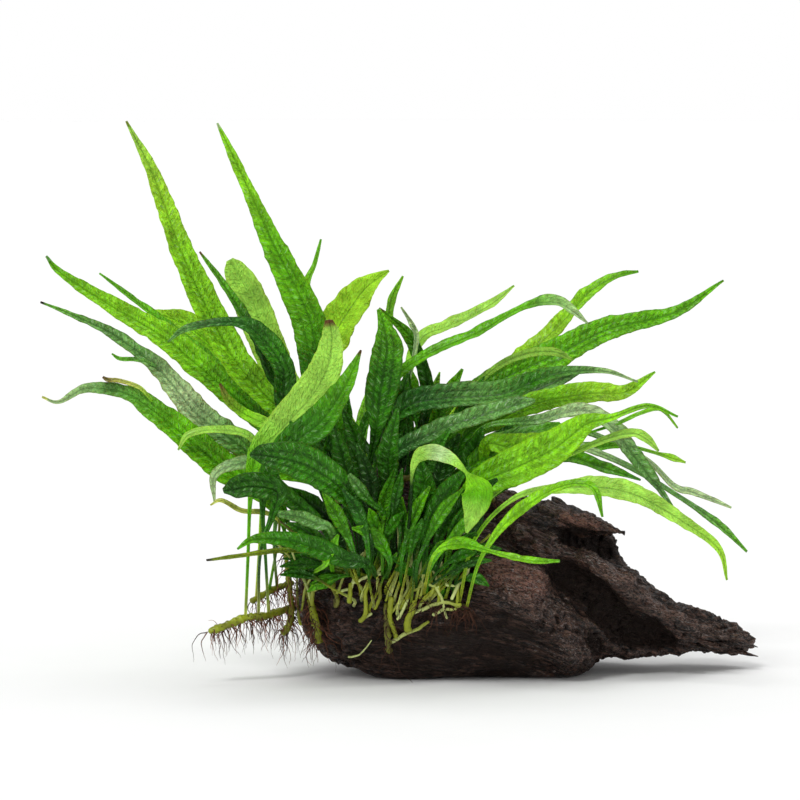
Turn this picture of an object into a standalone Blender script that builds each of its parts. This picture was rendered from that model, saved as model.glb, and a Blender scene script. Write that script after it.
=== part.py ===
"""Java fern growing on a piece of driftwood.

A dark lump of driftwood with a sharp spur and a long tail rests on its flat-worn belly. The fern's creeping
stems cling to its left end, front and top, and narrow leaves fan out of them to both sides.

Lengths are in millimetres. The fern's points are given as they are seen from the front, a little above level:
x to the right, height up the picture, and a depth that grows away from the viewer.
"""

import math

import bmesh
import bpy
from mathutils import Vector, noise
from mathutils.bvhtree import BVHTree

MM = 0.001
PARTS = "java_fern_on_driftwood"

# How the plant is seen
VIEW_RISE = math.radians(8)
VIEW_DISTANCE = 2000
CONTACT_DEPTH = -25
MIDDLE_DEPTH = -16

# The crown, where the leaf fan has its centre
CROWN_X = -6
CROWN_HEIGHT = 64
CROWN_DEPTH = -20
FAN_REACH = 40
FAN_CURVE = 70

# The driftwood
WOOD_LEFT = -43
WOOD_RIGHT = 144
WOOD_SIDES = 40
WOOD_RINGS = 46
WOOD_SQUARENESS = 0.85
WOOD_SHOULDER = 0.3
LUMP_LENGTH = 34
LUMP_WIDTH = 14
LUMP_HEIGHT = 3
# Each station: x, top, bottom, front, back
WOOD_STATIONS = [
    (-43, 30, 26, -2, 2),
    (-41, 42, 20, -13, 12),
    (-38, 47, 14, -20, 20),
    (-33, 56, 9, -27, 27),
    (-26, 66, 4, -32, 32),
    (-19, 75, 1, -37, 36),
    (-11, 81, -2, -40, 39),
    (0, 83.5, -3, -42, 41),
    (12, 83, -3, -43, 42),
    (24, 81, -3, -43, 43),
    (36, 77.5, -3, -42, 43),
    (46, 73, -3, -41, 43),
    (58, 69, -3, -39, 42),
    (68, 66.5, -3, -37, 41),
    (74, 64.5, 0, -35, 40),
    (80, 62, 6, -32, 39),
    (85, 58, 6.5, -29, 38),
    (87.5, 51, 6, -26, 37),
    (91.5, 42, 5, -23, 36),
    (98.5, 34.5, 6, -18, 34),
    (110, 27, 7, -12, 31),
    (120, 24.5, 7.5, -7, 29),
    (128, 22, 6.5, -3, 26),
    (136, 18, 6, 2, 24),
    (141, 14.5, 6, 7, 20),
    (144, 10.5, 9.5, 13, 15),
]
# Ridges and hollows of the front face: how far out, how wide, and the line they follow (x, z)
FRONT_FEATURES = [
    (7, 4, [(46, 68.5), (62, 64.5), (78, 62), (88, 60)]),
    (-15, 5.5, [(66, 56.5), (78, 54.5), (90, 51)]),
    (6, 5.5, [(46, 60), (63, 53), (72, 49), (78, 45), (83, 40.5), (88, 37), (93, 32.5), (99, 28), (106, 22)]),
    (-9, 7, [(65, 40), (74, 33.5), (84, 23.5), (92, 17)]),
    (6, 8, [(33, 41), (46, 40), (56, 37)]),
    (-6, 5, [(22, 45), (24, 44)]),
    (-6, 5, [(101, 17), (106, 14)]),
    (5, 6, [(44, 31), (60, 19), (74, 6)]),
]
# The same on the back face, which has a long groove and two swellings
BACK_FEATURES = [
    (-7, 8, [(-6, 50), (30, 44), (66, 34), (104, 18)]),
    (5, 10, [(6, 66), (40, 60)]),
    (5, 9, [(48, 18), (84, 16)]),
    (-5, 7, [(70, 52), (86, 44)]),
]
SPUR_START = Vector((58, -8, 62))
SPUR_TIP = Vector((91, -20, 57.5))
SPUR_HALF_WIDTH = 20
SPUR_HALF_HEIGHT = 9
FLOOR_CUT_SIZE = 400

# The creeping stems
STEM_GAP = 0.7
STEM_SIDES_RESOLUTION = 1
STEM_STEPS = 8
LONG_STEM_STEPS = 14

# The leaves
STALK_WIDTH = 1.2
STALK_THICKNESS = 1.2
BLADE_THICKNESS = 0.5
BLADE_WIDTH = 3.5
LEAF_ROOT_GAP = 0.7
ROLL_RAMP = 2

WOOD_BROWN = (0.028, 0.016, 0.012)
STEM_OLIVE = (0.25, 0.26, 0.05)
FRESH_GREEN = (0.13, 0.42, 0.025)
MIDDLE_GREEN = (0.07, 0.29, 0.02)
DEEP_GREEN = (0.03, 0.14, 0.012)
BLUISH_GREEN = (0.08, 0.22, 0.09)
PALE_GREEN = (0.3, 0.6, 0.09)


def start_empty():
    """Removes what the scene holds, and makes the two collections and the empty that carries every piece."""
    for thing in list(bpy.data.objects):
        bpy.data.objects.remove(thing, do_unlink=True)
    for name in (PARTS, "cutters"):
        bpy.context.scene.collection.children.link(bpy.data.collections.new(name))
    middle = bpy.data.objects.new("middle", None)
    middle.location = (0, -MIDDLE_DEPTH * MM, 0)
    bpy.data.collections[PARTS].objects.link(middle)


def material(name, colour, roughness):
    made = bpy.data.materials.new(name)
    made.use_nodes = True
    shader = made.node_tree.nodes["Principled BSDF"]
    shader.inputs["Base Color"].default_value = (*colour, 1)
    shader.inputs["Roughness"].default_value = roughness
    shader.inputs["Metallic"].default_value = 0
    return made


def new_object(name, data, collection, look=None):
    made = bpy.data.objects.new(name, data)
    bpy.data.collections[collection].objects.link(made)
    made.parent = bpy.data.objects["middle"]
    if look:
        data.materials.append(look)
    return made


def mesh_object(name, bm, collection, look=None):
    mesh = bpy.data.meshes.new(name)
    bm.to_mesh(mesh)
    bm.free()
    return new_object(name, mesh, collection, look)


def join_or_cut(target, other, operation):
    other.hide_render = True
    other.display_type = "WIRE"
    boolean = target.modifiers.new(operation.lower(), "BOOLEAN")
    boolean.operation = operation
    boolean.object = other
    boolean.solver = "EXACT"


def place(x, height, depth):
    """The real place, in metres, of a point given as it is seen from the front."""
    scale = 1 + depth / VIEW_DISTANCE
    raised = (depth - CONTACT_DEPTH) * math.sin(VIEW_RISE)
    z = (height * scale - raised) / math.cos(VIEW_RISE)
    return Vector((x * scale, depth, z)) * MM


def between(table, x):
    """The values of a table's rows, smoothly read at x, the first value of each row."""
    for low, high in zip(table, table[1:]):
        if x <= high[0]:
            share = (x - low[0]) / (high[0] - low[0])
            return [a + (b - a) * share for a, b in zip(low[1:], high[1:])]
    return list(table[-1][1:])


def distance_to_line(x, z, line):
    """How far a point of the wood's face is from a line of points on it."""
    nearest = math.inf
    for (x1, z1), (x2, z2) in zip(line, line[1:]):
        along = Vector((x2 - x1, z2 - z1))
        to_point = Vector((x - x1, z - z1))
        share = min(max(to_point.dot(along) / along.length_squared, 0), 1)
        nearest = min(nearest, (to_point - along * share).length)
    return nearest


def relief(x, z, features):
    """How far the ridges and hollows push the wood's face out at a place on it."""
    return sum(
        out * math.exp(-((distance_to_line(x, z, line) / width) ** 2))
        for out, width, line in features
    )


def wood_point(along, turn):
    """The wood's surface at a share of its length and an angle round it, in millimetres."""
    x = WOOD_LEFT + (WOOD_RIGHT - WOOD_LEFT) * along
    top, bottom, front, back = between(WOOD_STATIONS, x)
    across = math.copysign(abs(math.cos(turn)) ** WOOD_SQUARENESS, math.cos(turn))
    up = math.copysign(abs(math.sin(turn)) ** WOOD_SQUARENESS, math.sin(turn))
    half_depth = (back - front) / 2 * (1 - WOOD_SHOULDER * max(0, up))
    y = (front + back) / 2 + half_depth * across
    z = (top + bottom) / 2 + (top - bottom) / 2 * up
    if across < 0:
        y -= relief(x, z, FRONT_FEATURES) * min(1, -across * 1.5)
    else:
        y += relief(x, z, BACK_FEATURES) * min(1, across * 1.5)
    point = Vector((x, y, z))
    lumps = Vector((x / LUMP_LENGTH, y / LUMP_WIDTH, z / LUMP_WIDTH))
    shifts = (Vector((0, 0, 0)), Vector((31, 0, 7)), Vector((5, 17, 0)))
    uneven = Vector([noise.noise(lumps + shift) for shift in shifts])
    calm = min(1, along * 12, (1 - along) * 9)
    return point + uneven * LUMP_HEIGHT * calm


def make_driftwood():
    """A lofted lump with a spur joined on, cut flat where it rests."""
    bm = bmesh.new()
    bmesh.ops.create_uvsphere(bm, u_segments=WOOD_SIDES, v_segments=WOOD_RINGS, radius=1)
    for vertex in bm.verts:
        along = math.acos(max(-1, min(1, vertex.co.z))) / math.pi
        turn = math.atan2(vertex.co.y, vertex.co.x)
        vertex.co = wood_point(along, turn) * MM
    bmesh.ops.recalc_face_normals(bm, faces=bm.faces)
    wood = mesh_object("driftwood", bm, PARTS, material("wood", WOOD_BROWN, 0.35))

    bm = bmesh.new()
    axis = SPUR_TIP - SPUR_START
    bmesh.ops.create_cone(
        bm, cap_ends=True, cap_tris=False, segments=12, radius1=1, radius2=0.03, depth=1
    )
    for vertex in bm.verts:
        vertex.co.z += 0.5
        vertex.co.x *= SPUR_HALF_WIDTH
        vertex.co.y *= SPUR_HALF_HEIGHT
        vertex.co.z *= axis.length
    spur = mesh_object("spur", bm, "cutters")
    spur.rotation_mode = "QUATERNION"
    spur.rotation_quaternion = axis.to_track_quat("Z", "Y")
    spur.location = SPUR_START * MM
    spur.data.transform(spur.matrix_world.Scale(MM, 4))
    join_or_cut(wood, spur, "UNION")

    bm = bmesh.new()
    bmesh.ops.create_cube(bm, size=FLOOR_CUT_SIZE * MM)
    floor_cut = mesh_object("floor_cut", bm, "cutters")
    floor_cut.location = (0, 0, -FLOOR_CUT_SIZE / 2 * MM)
    join_or_cut(wood, floor_cut, "DIFFERENCE")
    return wood


def surface_of(thing):
    bpy.context.view_layer.update()
    return BVHTree.FromObject(thing, bpy.context.evaluated_depsgraph_get())


def smooth_points(points, steps):
    """Places at equal steps along a smooth curve through points, which may hold more values."""
    count = len(points[0])
    ends = [
        [2 * a - b for a, b in zip(points[0], points[1])],
        [2 * a - b for a, b in zip(points[-1], points[-2])],
    ]
    padded = [ends[0], *points, ends[1]]
    made = []
    for step in range(steps + 1):
        place_on = step * (len(points) - 1) / steps
        span = min(int(place_on), len(points) - 2)
        t = place_on - span
        before, start, end, after = padded[span : span + 4]
        made.append(
            [
                0.5
                * (
                    2 * start[i]
                    + (end[i] - before[i]) * t
                    + (2 * before[i] - 5 * start[i] + 4 * end[i] - after[i]) * t**2
                    + (3 * start[i] - before[i] - 3 * end[i] + after[i]) * t**3
                )
                for i in range(count)
            ]
        )
    return made


class Stem:
    """A creeping stem: a knobbly tube along its points, each x, y, z and radius in millimetres."""

    def __init__(self, name, points):
        self.points = [(Vector(values[:3]), values[3]) for values in points]
        curve = bpy.data.curves.new(name, "CURVE")
        curve.dimensions = "3D"
        curve.bevel_depth = MM
        curve.bevel_resolution = STEM_SIDES_RESOLUTION
        curve.use_fill_caps = True
        spline = curve.splines.new("POLY")
        spline.points.add(len(self.points) - 1)
        for index, (centre, radius) in enumerate(self.points):
            spline.points[index].co = (*(centre * MM), 1)
            spline.points[index].radius = radius * (1.12 if index % 2 else 0.9)
        new_object(name, curve, PARTS, material(name, STEM_OLIVE, 0.5))

    def leaf_root(self, x):
        """Where a leaf stalk starts, just above the stem at this x."""
        pairs = zip(self.points, self.points[1:])
        for (start, start_radius), (end, end_radius) in pairs:
            if min(start.x, end.x) <= x <= max(start.x, end.x):
                share = (x - start.x) / (end.x - start.x)
                radius = max(start_radius, end_radius) * 1.12
                axis = (end - start).normalized()
                up = Vector((0, 0, 1))
                out = (up - axis * up.dot(axis)).normalized()
                return start.lerp(end, share) + out * (radius + LEAF_ROOT_GAP)
        raise ValueError("the stem doesn't reach this x")

    def end_root(self):
        """Where a leaf stalk goes on from the stem's last point."""
        last = self.points[-1][0]
        before = self.points[-2][0]
        return last + (last - before).normalized() * LEAF_ROOT_GAP


def free_stem(name, points):
    """A stem given by points as seen, each x, height, depth and radius."""
    real = [(*(place(x, h, d) / MM), r) for x, h, d, r in points]
    return Stem(name, smooth_points(real, STEM_STEPS))


def clinging_stem(name, surface, points, from_direction, steps=STEM_STEPS):
    """A stem laid on the wood: each point is x, a second coordinate and a radius, and is found by looking at
    the wood from one direction."""
    laid = []
    for x, second, radius in smooth_points(points, steps):
        if from_direction == "top":
            start, look = Vector((x, second, 200)), Vector((0, 0, -1))
        else:
            start, look = Vector((x, -200, second)), Vector((0, 1, 0))
        hit, normal, _, _ = surface.ray_cast(start * MM, look)
        centre = hit / MM + normal * (radius * 1.12 + STEM_GAP)
        laid.append((*centre, radius))
    return Stem(name, laid)


def fan_depth(x, height, lean):
    """The depth of a leaf that leans back by so many degrees, at a place as seen."""
    away = math.hypot(x - CROWN_X, height - CROWN_HEIGHT)
    reach = FAN_REACH + FAN_CURVE * (1 - math.exp(-away / FAN_CURVE))
    return CROWN_DEPTH + math.tan(math.radians(lean)) * reach


def make_leaf(name, root, lean, points, colour, roll=12, fold=0.12):
    """A leaf from its root, along points given as seen (x, height, width), to its tip.

    lean is how far it leans back, roll how far its face turns from the viewer, both in degrees, and fold
    how deep its middle lies, as a share of its width.
    """
    path = [(*root, STALK_WIDTH)]
    for x, height, width in points:
        path.append((*(place(x, height, fan_depth(x, height, lean)) / MM), width))
    steps = max(7, len(points) + 1)
    stations = smooth_points(path, steps)
    centres = [Vector(values[:3]) for values in stations]
    widths = [max(values[3], 0.8) for values in stations]
    view = Vector((0, math.cos(VIEW_RISE), -math.sin(VIEW_RISE)))

    bm = bmesh.new()
    bmesh.ops.create_grid(bm, x_segments=2, y_segments=steps, size=1)
    weights = {}
    for vertex in bm.verts:
        across = vertex.co.x
        index = round((vertex.co.y + 1) / 2 * steps)
        ahead = centres[min(index + 1, steps)] - centres[max(index - 1, 0)]
        side = ahead.cross(view).normalized()
        face = side.cross(ahead).normalized()
        turned = math.radians(roll) * min(1, ROLL_RAMP * index / steps)
        edge = side * math.cos(turned) + face * math.sin(turned)
        out = face * math.cos(turned) - side * math.sin(turned)
        width = widths[index] / math.cos(turned)
        dip = out * fold * width * (1 - abs(across))
        vertex.co = (centres[index] + edge * across * width / 2 + dip) * MM
        weights[vertex.index] = min(1, max(0, (BLADE_WIDTH - widths[index]) / (BLADE_WIDTH - STALK_WIDTH)))
    bmesh.ops.recalc_face_normals(bm, faces=bm.faces)
    leaf = mesh_object(name, bm, PARTS, material(name, colour, 0.4))

    thick = leaf.vertex_groups.new(name="stalk")
    for index, weight in weights.items():
        thick.add([index], weight, "REPLACE")
    shell = leaf.modifiers.new("thickness", "SOLIDIFY")
    shell.thickness = STALK_THICKNESS * MM
    shell.offset = 0
    shell.vertex_group = "stalk"
    shell.thickness_vertex_group = BLADE_THICKNESS / STALK_THICKNESS
    shell.use_even_offset = False
    return leaf


def make_stems(wood):
    """The creeping stems: five in sight at the left end and front, and two over the top of the wood."""
    surface = surface_of(wood)
    stems = {}
    stems["low"] = free_stem(
        "rhizome_left_low",
        [
            (-77, 19, -36, 1.2),
            (-70, 21.6, -34, 1.5),
            (-61, 25, -31, 1.4),
            (-55, 25.2, -28, 1.5),
            (-49, 27, -21, 1.4),
            (-42.3, 29, -12.5, 1.3),
        ],
    )
    stems["high"] = free_stem(
        "rhizome_left_high",
        [(-60, 31, -20, 1.1), (-55, 34, -16, 1.2), (-50, 36.5, -12, 1.2), (-42.5, 39, -7, 1.1)],
    )
    stems["club"] = free_stem(
        "rhizome_club",
        [
            (-47.6, 18, -18, 1.4),
            (-45, 21, -18.3, 1.5),
            (-43.6, 26, -18.3, 1.2),
            (-44, 34, -19.5, 1),
            (-45, 43, -21.5, 0.9),
            (-46, 51, -24, 0.8),
        ],
    )
    stems["hanging"] = clinging_stem(
        "rhizome_hanging",
        surface,
        [(-31, 16, 1.4), (-31.5, 22, 1.5), (-33, 29, 1.3), (-35, 35, 1.1), (-36, 41, 0.9)],
        "front",
    )
    stems["front"] = clinging_stem(
        "rhizome_front",
        surface,
        [(-27, 40, 1.2), (-16, 41, 1.5), (-4, 40, 1.4), (8, 36, 1.5), (20, 33, 1.3), (27, 31, 1)],
        "front",
    )
    stems["right"] = clinging_stem(
        "rhizome_right",
        surface,
        [(-5, 33, 1), (-5, 27, 1.1), (-4.5, 20, 1.2), (-4, 13, 1)],
        "front",
    )
    stems["top"] = clinging_stem(
        "rhizome_top",
        surface,
        [(-28, -9, 1.3), (-20, -14, 1.5), (-6, -18, 1.4), (10, -17, 1.5), (26, -18, 1.3), (38, -19, 1)],
        "top",
        steps=LONG_STEM_STEPS,
    )
    stems["back"] = clinging_stem(
        "rhizome_back",
        surface,
        [(-30, 2, 1.2), (-22, 12, 1.4), (-14, 22, 1.5), (-6, 27, 1.4), (3, 20, 1.4), (10, 10, 1.3), (15, 5, 1)],
        "top",
        steps=LONG_STEM_STEPS,
    )
    return stems


def make_left_leaves(stems):
    top, back, front = stems["top"], stems["back"], stems["front"]
    low, high = stems["low"], stems["high"]
    make_leaf("leaf_tall_left", top.leaf_root(-25), 9,
              [(-36, 96, 4), (-46, 106, 8), (-64, 125.6, 11.5), (-76.5, 148, 11.5), (-87.2, 171.6, 9),
               (-94.6, 191.6, 7), (-99.8, 204.6, 4.8), (-109, 222, 0.8)], MIDDLE_GREEN, -20)
    make_leaf("leaf_tall_centre", top.leaf_root(-18.5), 5,
              [(-30, 100, 4), (-33, 118, 12), (-34, 132, 14), (-38.5, 148, 13), (-50, 171.6, 9.2),
               (-59, 191.6, 5.4), (-67, 209, 3.6), (-72.8, 221.2, 0.8)], MIDDLE_GREEN, 18)
    make_leaf("leaf_left_hooked", back.leaf_root(-29), 16,
              [(-38, 88, 2), (-52, 101, 9), (-80, 125.6, 11), (-94.8, 137.6, 10), (-116, 150, 7),
               (-135.6, 162.4, 3), (-141.2, 168.8, 0.8)], FRESH_GREEN, -25)
    make_leaf("leaf_left_thin", back.leaf_root(-25.5), 20,
              [(-36, 95, 1.5), (-58, 113, 4), (-80, 131.6, 4), (-100, 147.2, 3), (-120, 162, 0.8)],
              MIDDLE_GREEN, -50)
    make_leaf("leaf_left_broad_behind", back.leaf_root(-21.5), 25,
              [(-32, 98, 2), (-50, 112, 10), (-68, 127, 13), (-84.8, 141, 12), (-100.8, 147, 1.5)],
              FRESH_GREEN, -15)
    make_leaf("leaf_left_wavy", stems["hanging"].end_root(), -5.5,
              [(-44, 60, 1.6), (-52, 80, 6), (-64, 93.6, 10), (-80.4, 106, 10.4), (-90.8, 118.4, 9),
               (-98.8, 126.4, 6.5), (-114, 137.6, 4.5), (-130.4, 145.2, 2.2), (-143.6, 150.4, 0.8)],
              BLUISH_GREEN, -25)
    make_leaf("leaf_left_arching", stems["club"].end_root(), -9.5,
              [(-47, 62, 2), (-54, 74, 8), (-70, 84.5, 12), (-88.4, 100, 10.5), (-98.8, 108, 8.8),
               (-109.2, 114.4, 6), (-125.2, 116.4, 4), (-136.4, 110.8, 1.6), (-143.2, 112.8, 0.8)],
              FRESH_GREEN, -25)
    make_leaf("leaf_dark_arch", top.leaf_root(-27), -3,
              [(-40, 98, 4), (-46, 110, 8), (-46.5, 124.8, 8.5), (-56, 138, 8), (-66, 142.8, 4),
               (-84.4, 140.4, 3), (-92.8, 134.8, 0.8)], DEEP_GREEN, -30)
    make_leaf("leaf_left_narrow_dark", top.leaf_root(-22), 1,
              [(-34, 100, 2.5), (-50, 119.6, 5), (-56, 133.6, 4.2), (-67.2, 153.2, 3.4), (-80, 170.4, 0.8)],
              DEEP_GREEN, -50)
    make_leaf("leaf_pale_blunt", back.leaf_root(-17), 31,
              [(-28, 98, 3), (-43, 113, 11), (-52.8, 133.6, 14), (-60, 151.6, 14), (-65.6, 162.8, 10),
               (-68, 167.5, 3)], PALE_GREEN, 15)
    make_leaf("leaf_small_upright", back.leaf_root(-12.5), 36,
              [(-24, 100, 1.5), (-38, 128, 3), (-38, 154.8, 3.2), (-34, 166, 2), (-31.6, 175.6, 0.8)],
              FRESH_GREEN, 50)
    make_leaf("leaf_yellow_green", back.leaf_root(-7), 41,
              [(-16, 96, 3), (-31, 122, 10), (-27, 138, 15), (-20, 149.6, 14), (-13.2, 157.6, 9),
               (-4.4, 163.2, 0.8)], PALE_GREEN, 20)
    make_leaf("leaf_front_smooth", low.leaf_root(-61), -21.5,
              [(-61, 48, 1.3), (-60, 72, 2), (-58, 88, 7), (-51, 97, 12), (-42, 106.5, 14),
               (-34, 116, 14.5), (-29, 126, 12), (-27.5, 135.6, 8.5), (-28.4, 143.2, 3)], PALE_GREEN, 12)
    make_leaf("leaf_front_dull", low.leaf_root(-52), -28.5,
              [(-54, 50, 1.3), (-55, 70, 2.5), (-52, 84, 8), (-42, 95.5, 12), (-32, 103.6, 12),
               (-22, 117.6, 7), (-15.6, 131.2, 0.8)], FRESH_GREEN, 15)
    make_leaf("leaf_left_small_arch", high.leaf_root(-57), -12.5,
              [(-56, 60, 1.2), (-55, 85, 2), (-60, 97, 3), (-73.2, 100, 3.2), (-84.4, 98, 2.6),
               (-88.8, 91.6, 0.8)], PALE_GREEN, -45)
    make_leaf("leaf_left_folded", high.leaf_root(-49), -15.5,
              [(-50.5, 55, 1.2), (-49, 75, 3), (-54, 86.5, 5), (-66, 86, 5), (-74.4, 81.6, 3.4),
               (-74.4, 71.2, 0.8)], BLUISH_GREEN, -30)
    make_leaf("leaf_left_broad_low", stems["low"].leaf_root(-56), -33,
              [(-56, 50, 1.3), (-51, 66, 3), (-49, 75, 8), (-58, 77.6, 10.5), (-66, 76.4, 8),
               (-70.8, 75.2, 2)], DEEP_GREEN, -20)
    make_leaf("leaf_broad_dark_front", front.leaf_root(-12.5), -36.5,
              [(-11, 52, 1.6), (-14.5, 63, 3), (-20, 72.5, 8), (-28, 80.5, 12.5), (-40, 87, 14), (-53.6, 89.6, 9),
               (-60, 89.6, 1.5)], DEEP_GREEN, -15)
    make_leaf("leaf_low_bright", front.leaf_root(-9), -39,
              [(-13, 46, 3.5), (-22, 48, 7), (-32.8, 52.4, 8), (-43.2, 55.6, 6.5), (-51.2, 56.4, 5),
               (-59.6, 55.6, 3), (-65.2, 52, 0.8)], FRESH_GREEN, -20)
    make_leaf("leaf_low_olive", front.leaf_root(-26), -36,
              [(-30, 50, 2.4), (-46.4, 51.6, 2), (-62.4, 49.6, 1.8), (-77.6, 47.6, 0.8)], MIDDLE_GREEN, -45)


def make_middle_leaves(stems):
    top, front = stems["top"], stems["front"]
    make_leaf("leaf_middle_upright", top.leaf_root(-14), -12,
              [(-10, 97, 4), (-8, 111.6, 12), (-6, 123.6, 13), (-4.8, 133, 11.5), (-6.6, 142, 5), (-8.6, 147.6, 1.5)],
              DEEP_GREEN, -14)
    make_leaf("leaf_middle_curled", top.leaf_root(2), 0,
              [(8, 98, 3), (11, 112, 5), (9, 125, 5.2), (4, 136, 4.5), (-0.8, 141.6, 3), (-8.4, 148, 0.8)],
              DEEP_GREEN, 40)
    make_leaf("leaf_middle_slim", top.leaf_root(-10), 7,
              [(-9, 102, 2), (-7, 122, 3), (-4.8, 140, 3.4), (-3, 152, 2.8), (1.2, 160.8, 0.8)],
              MIDDLE_GREEN, -50)
    inner = [
        ("far_left", -18, -29, [(-26, 60, 4), (-36, 70, 8), (-47, 77, 1.5)]),
        ("left", -14, -26.5, [(-17, 66, 4), (-22, 84, 8.5), (-27, 103, 1.5)]),
        ("left_middle", -7.2, -31, [(-12, 62, 4), (-12, 78, 7), (-17, 94, 1.5)]),
        ("middle", -3, -28, [(-3, 66, 4), (-5, 88, 8.5), (-1, 108, 1.5)]),
        ("right_middle", 3, -26.5, [(5, 66, 4), (10, 85, 7.5), (20, 100, 1.5)]),
        ("right", 9, -32, [(11, 61, 4), (18, 74, 7.5), (28, 85, 1.5)]),
        ("far_right", 12, -28, [(16, 58, 4), (26, 71, 7.5), (39, 80, 1.5)]),
    ]
    for place_name, root_x, lean, points in inner:
        make_leaf("leaf_inner_" + place_name, front.leaf_root(root_x), lean, points, DEEP_GREEN)


def make_right_leaves(stems):
    top, back, front = stems["top"], stems["back"], stems["front"]
    make_leaf("leaf_right_light_thin", back.leaf_root(1), 35,
              [(1, 110, 2.5), (7.2, 135, 5), (18.4, 141.6, 4.6), (28.4, 146, 4.4), (38.8, 152, 3),
               (45.6, 157.2, 0.8)], PALE_GREEN, 50)
    make_leaf("leaf_right_long_arch", top.leaf_root(-6), -4,
              [(-9, 100, 2.5), (-3, 119, 4), (10, 129.6, 4), (30.4, 138.8, 4), (48, 148, 2.4),
               (57.2, 151.2, 4.8), (65.2, 150, 4.4), (75.2, 142, 0.8)], MIDDLE_GREEN, 50)
    make_leaf("leaf_right_wavy", back.leaf_root(6.5), 27,
              [(18, 100, 3), (32, 113, 6), (51.2, 130.8, 7.4), (65.2, 144, 6), (75.6, 155.2, 5),
               (86, 161, 3), (95.2, 162.8, 0.8)], FRESH_GREEN, 35)
    make_leaf("leaf_right_large", back.leaf_root(12), 20,
              [(16, 102, 5), (38, 119, 12), (63.2, 130.8, 12), (83.6, 140.4, 9.6), (110, 146.8, 5),
               (129.2, 159.2, 0.8)], DEEP_GREEN, 20)
    make_leaf("leaf_right_pale_arch", top.leaf_root(5.5), 3,
              [(20, 105, 1.5), (35.6, 122.4, 2.4), (49, 129.6, 3.4), (61.2, 130.8, 3.4), (69.2, 127.6, 0.8)],
              PALE_GREEN, 45)
    make_leaf("leaf_right_dark_folded", top.leaf_root(-2), -8,
              [(-4, 101, 5), (4, 110.5, 9.5), (20.4, 113.6, 10), (40.8, 115.2, 9), (61.2, 122.4, 5),
               (81.2, 123.2, 2.2), (95.2, 118.8, 0.8)], DEEP_GREEN, 25, fold=0.25)
    make_leaf("leaf_right_blue_green", top.leaf_root(12), 8,
              [(20, 101, 4), (40, 109.6, 7), (55.2, 116.4, 7), (66, 121, 5), (74, 124, 0.8)], BLUISH_GREEN, 28)
    make_leaf("leaf_right_bright", top.leaf_root(19), -2,
              [(26, 97, 4), (38, 103.6, 8), (55, 111, 8.5), (76.8, 114.8, 8.5), (90, 115, 5.5),
               (102, 122.8, 0.8)], FRESH_GREEN, 22)
    make_leaf("leaf_right_grey_green", front.leaf_root(-5.5), -21,
              [(-7, 64, 2), (-4, 88, 6), (15.2, 100, 7.2), (30.4, 105.2, 7.2), (46, 110, 6),
               (54, 111.2, 1.5)], BLUISH_GREEN, 28)
    make_leaf("leaf_right_wide_bright", front.leaf_root(16), -24,
              [(22, 62, 4), (32, 78, 11), (47, 85.5, 15), (62, 93, 14), (74, 102, 8), (84.4, 104.5, 3),
               (99.2, 109.2, 2), (111.2, 104.8, 0.8)], FRESH_GREEN, 12)
    make_leaf("leaf_right_twisted", top.leaf_root(26), -12,
              [(31, 99, 1.5), (56, 104, 4), (72.8, 108, 5.4), (84.8, 101.6, 6), (95.2, 88, 6.4),
               (109.2, 69.2, 0.8)], BLUISH_GREEN, 30)
    make_leaf("leaf_right_paddle", top.leaf_root(32), 6,
              [(36, 93, 3), (56, 92, 4.8), (75.2, 93, 4.2), (89.6, 93.6, 2), (103, 90.4, 1.4),
               (109.6, 88.6, 2.8), (114.4, 86.8, 0.8)], MIDDLE_GREEN, 40)
    make_leaf("leaf_right_drooping_dark", front.leaf_root(20), -19,
              [(30, 66, 2.4), (48, 81, 4.4), (66, 89, 4.8), (80, 85.6, 4.8), (96.4, 79.6, 0.8)], DEEP_GREEN, 40)
    make_leaf("leaf_right_thin_upper", top.leaf_root(15.5), 10,
              [(34, 99, 2), (66, 101, 2.4), (96, 89.6, 2), (110, 77.2, 2.4), (118, 75, 3),
               (132.8, 68.8, 0.8)], BLUISH_GREEN, 45)
    make_leaf("leaf_right_thin_lower", top.leaf_root(22.5), 1,
              [(38, 98, 2), (64, 95.6, 3), (90, 86, 2.4), (112.4, 72.8, 1.8), (128.4, 61.6, 3.2),
               (139.2, 51.2, 0.8)], BLUISH_GREEN, 45)
    make_leaf("leaf_right_long_droop", front.leaf_root(23), -30,
              [(30, 56, 1.5), (46, 72.5, 2), (64, 76.4, 4.4), (80, 77.2, 8), (94.8, 74, 7.4),
               (112.4, 64, 5), (127.6, 52.4, 2.8), (131.2, 39.6, 0.8)], FRESH_GREEN, 25)
    make_leaf("leaf_right_stalked_arch", front.leaf_root(26), -35,
              [(31, 45, 1.3), (37, 56, 2.4), (44, 64.5, 4.2), (53, 71.5, 4.4), (62, 76.5, 3.4),
               (71, 78.5, 2.8), (78, 76, 3), (81.2, 64.8, 0.8)], FRESH_GREEN, 40)
    make_leaf("leaf_front_bent", front.leaf_root(0), -38,
              [(4, 66, 1.3), (5, 80, 1.4), (7, 88.4, 5), (14, 91.2, 6), (22, 88, 5), (27, 83, 5),
               (30.6, 76, 12.5), (29.4, 67.5, 8.5), (26.6, 58.4, 1)], PALE_GREEN, 10)
    make_leaf("leaf_front_narrow", front.leaf_root(13.5), -41,
              [(17, 50, 3.4), (24, 54.4, 4.8), (37.6, 50.8, 1.6), (52, 47.6, 2.8), (64, 47.2, 0.8)],
              FRESH_GREEN, 40)
    make_leaf("leaf_right_bright_behind", top.leaf_root(35), -18,
              [(34, 93, 5), (44, 93.5, 9), (52, 95.5, 6), (58, 98, 0.8)], FRESH_GREEN, 20)
    make_leaf("leaf_right_ridged", top.leaf_root(29), -7,
              [(33, 94, 3), (43.2, 96.5, 6), (54, 99.5, 6), (64, 102.5, 0.8)], MIDDLE_GREEN, 30)


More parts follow.
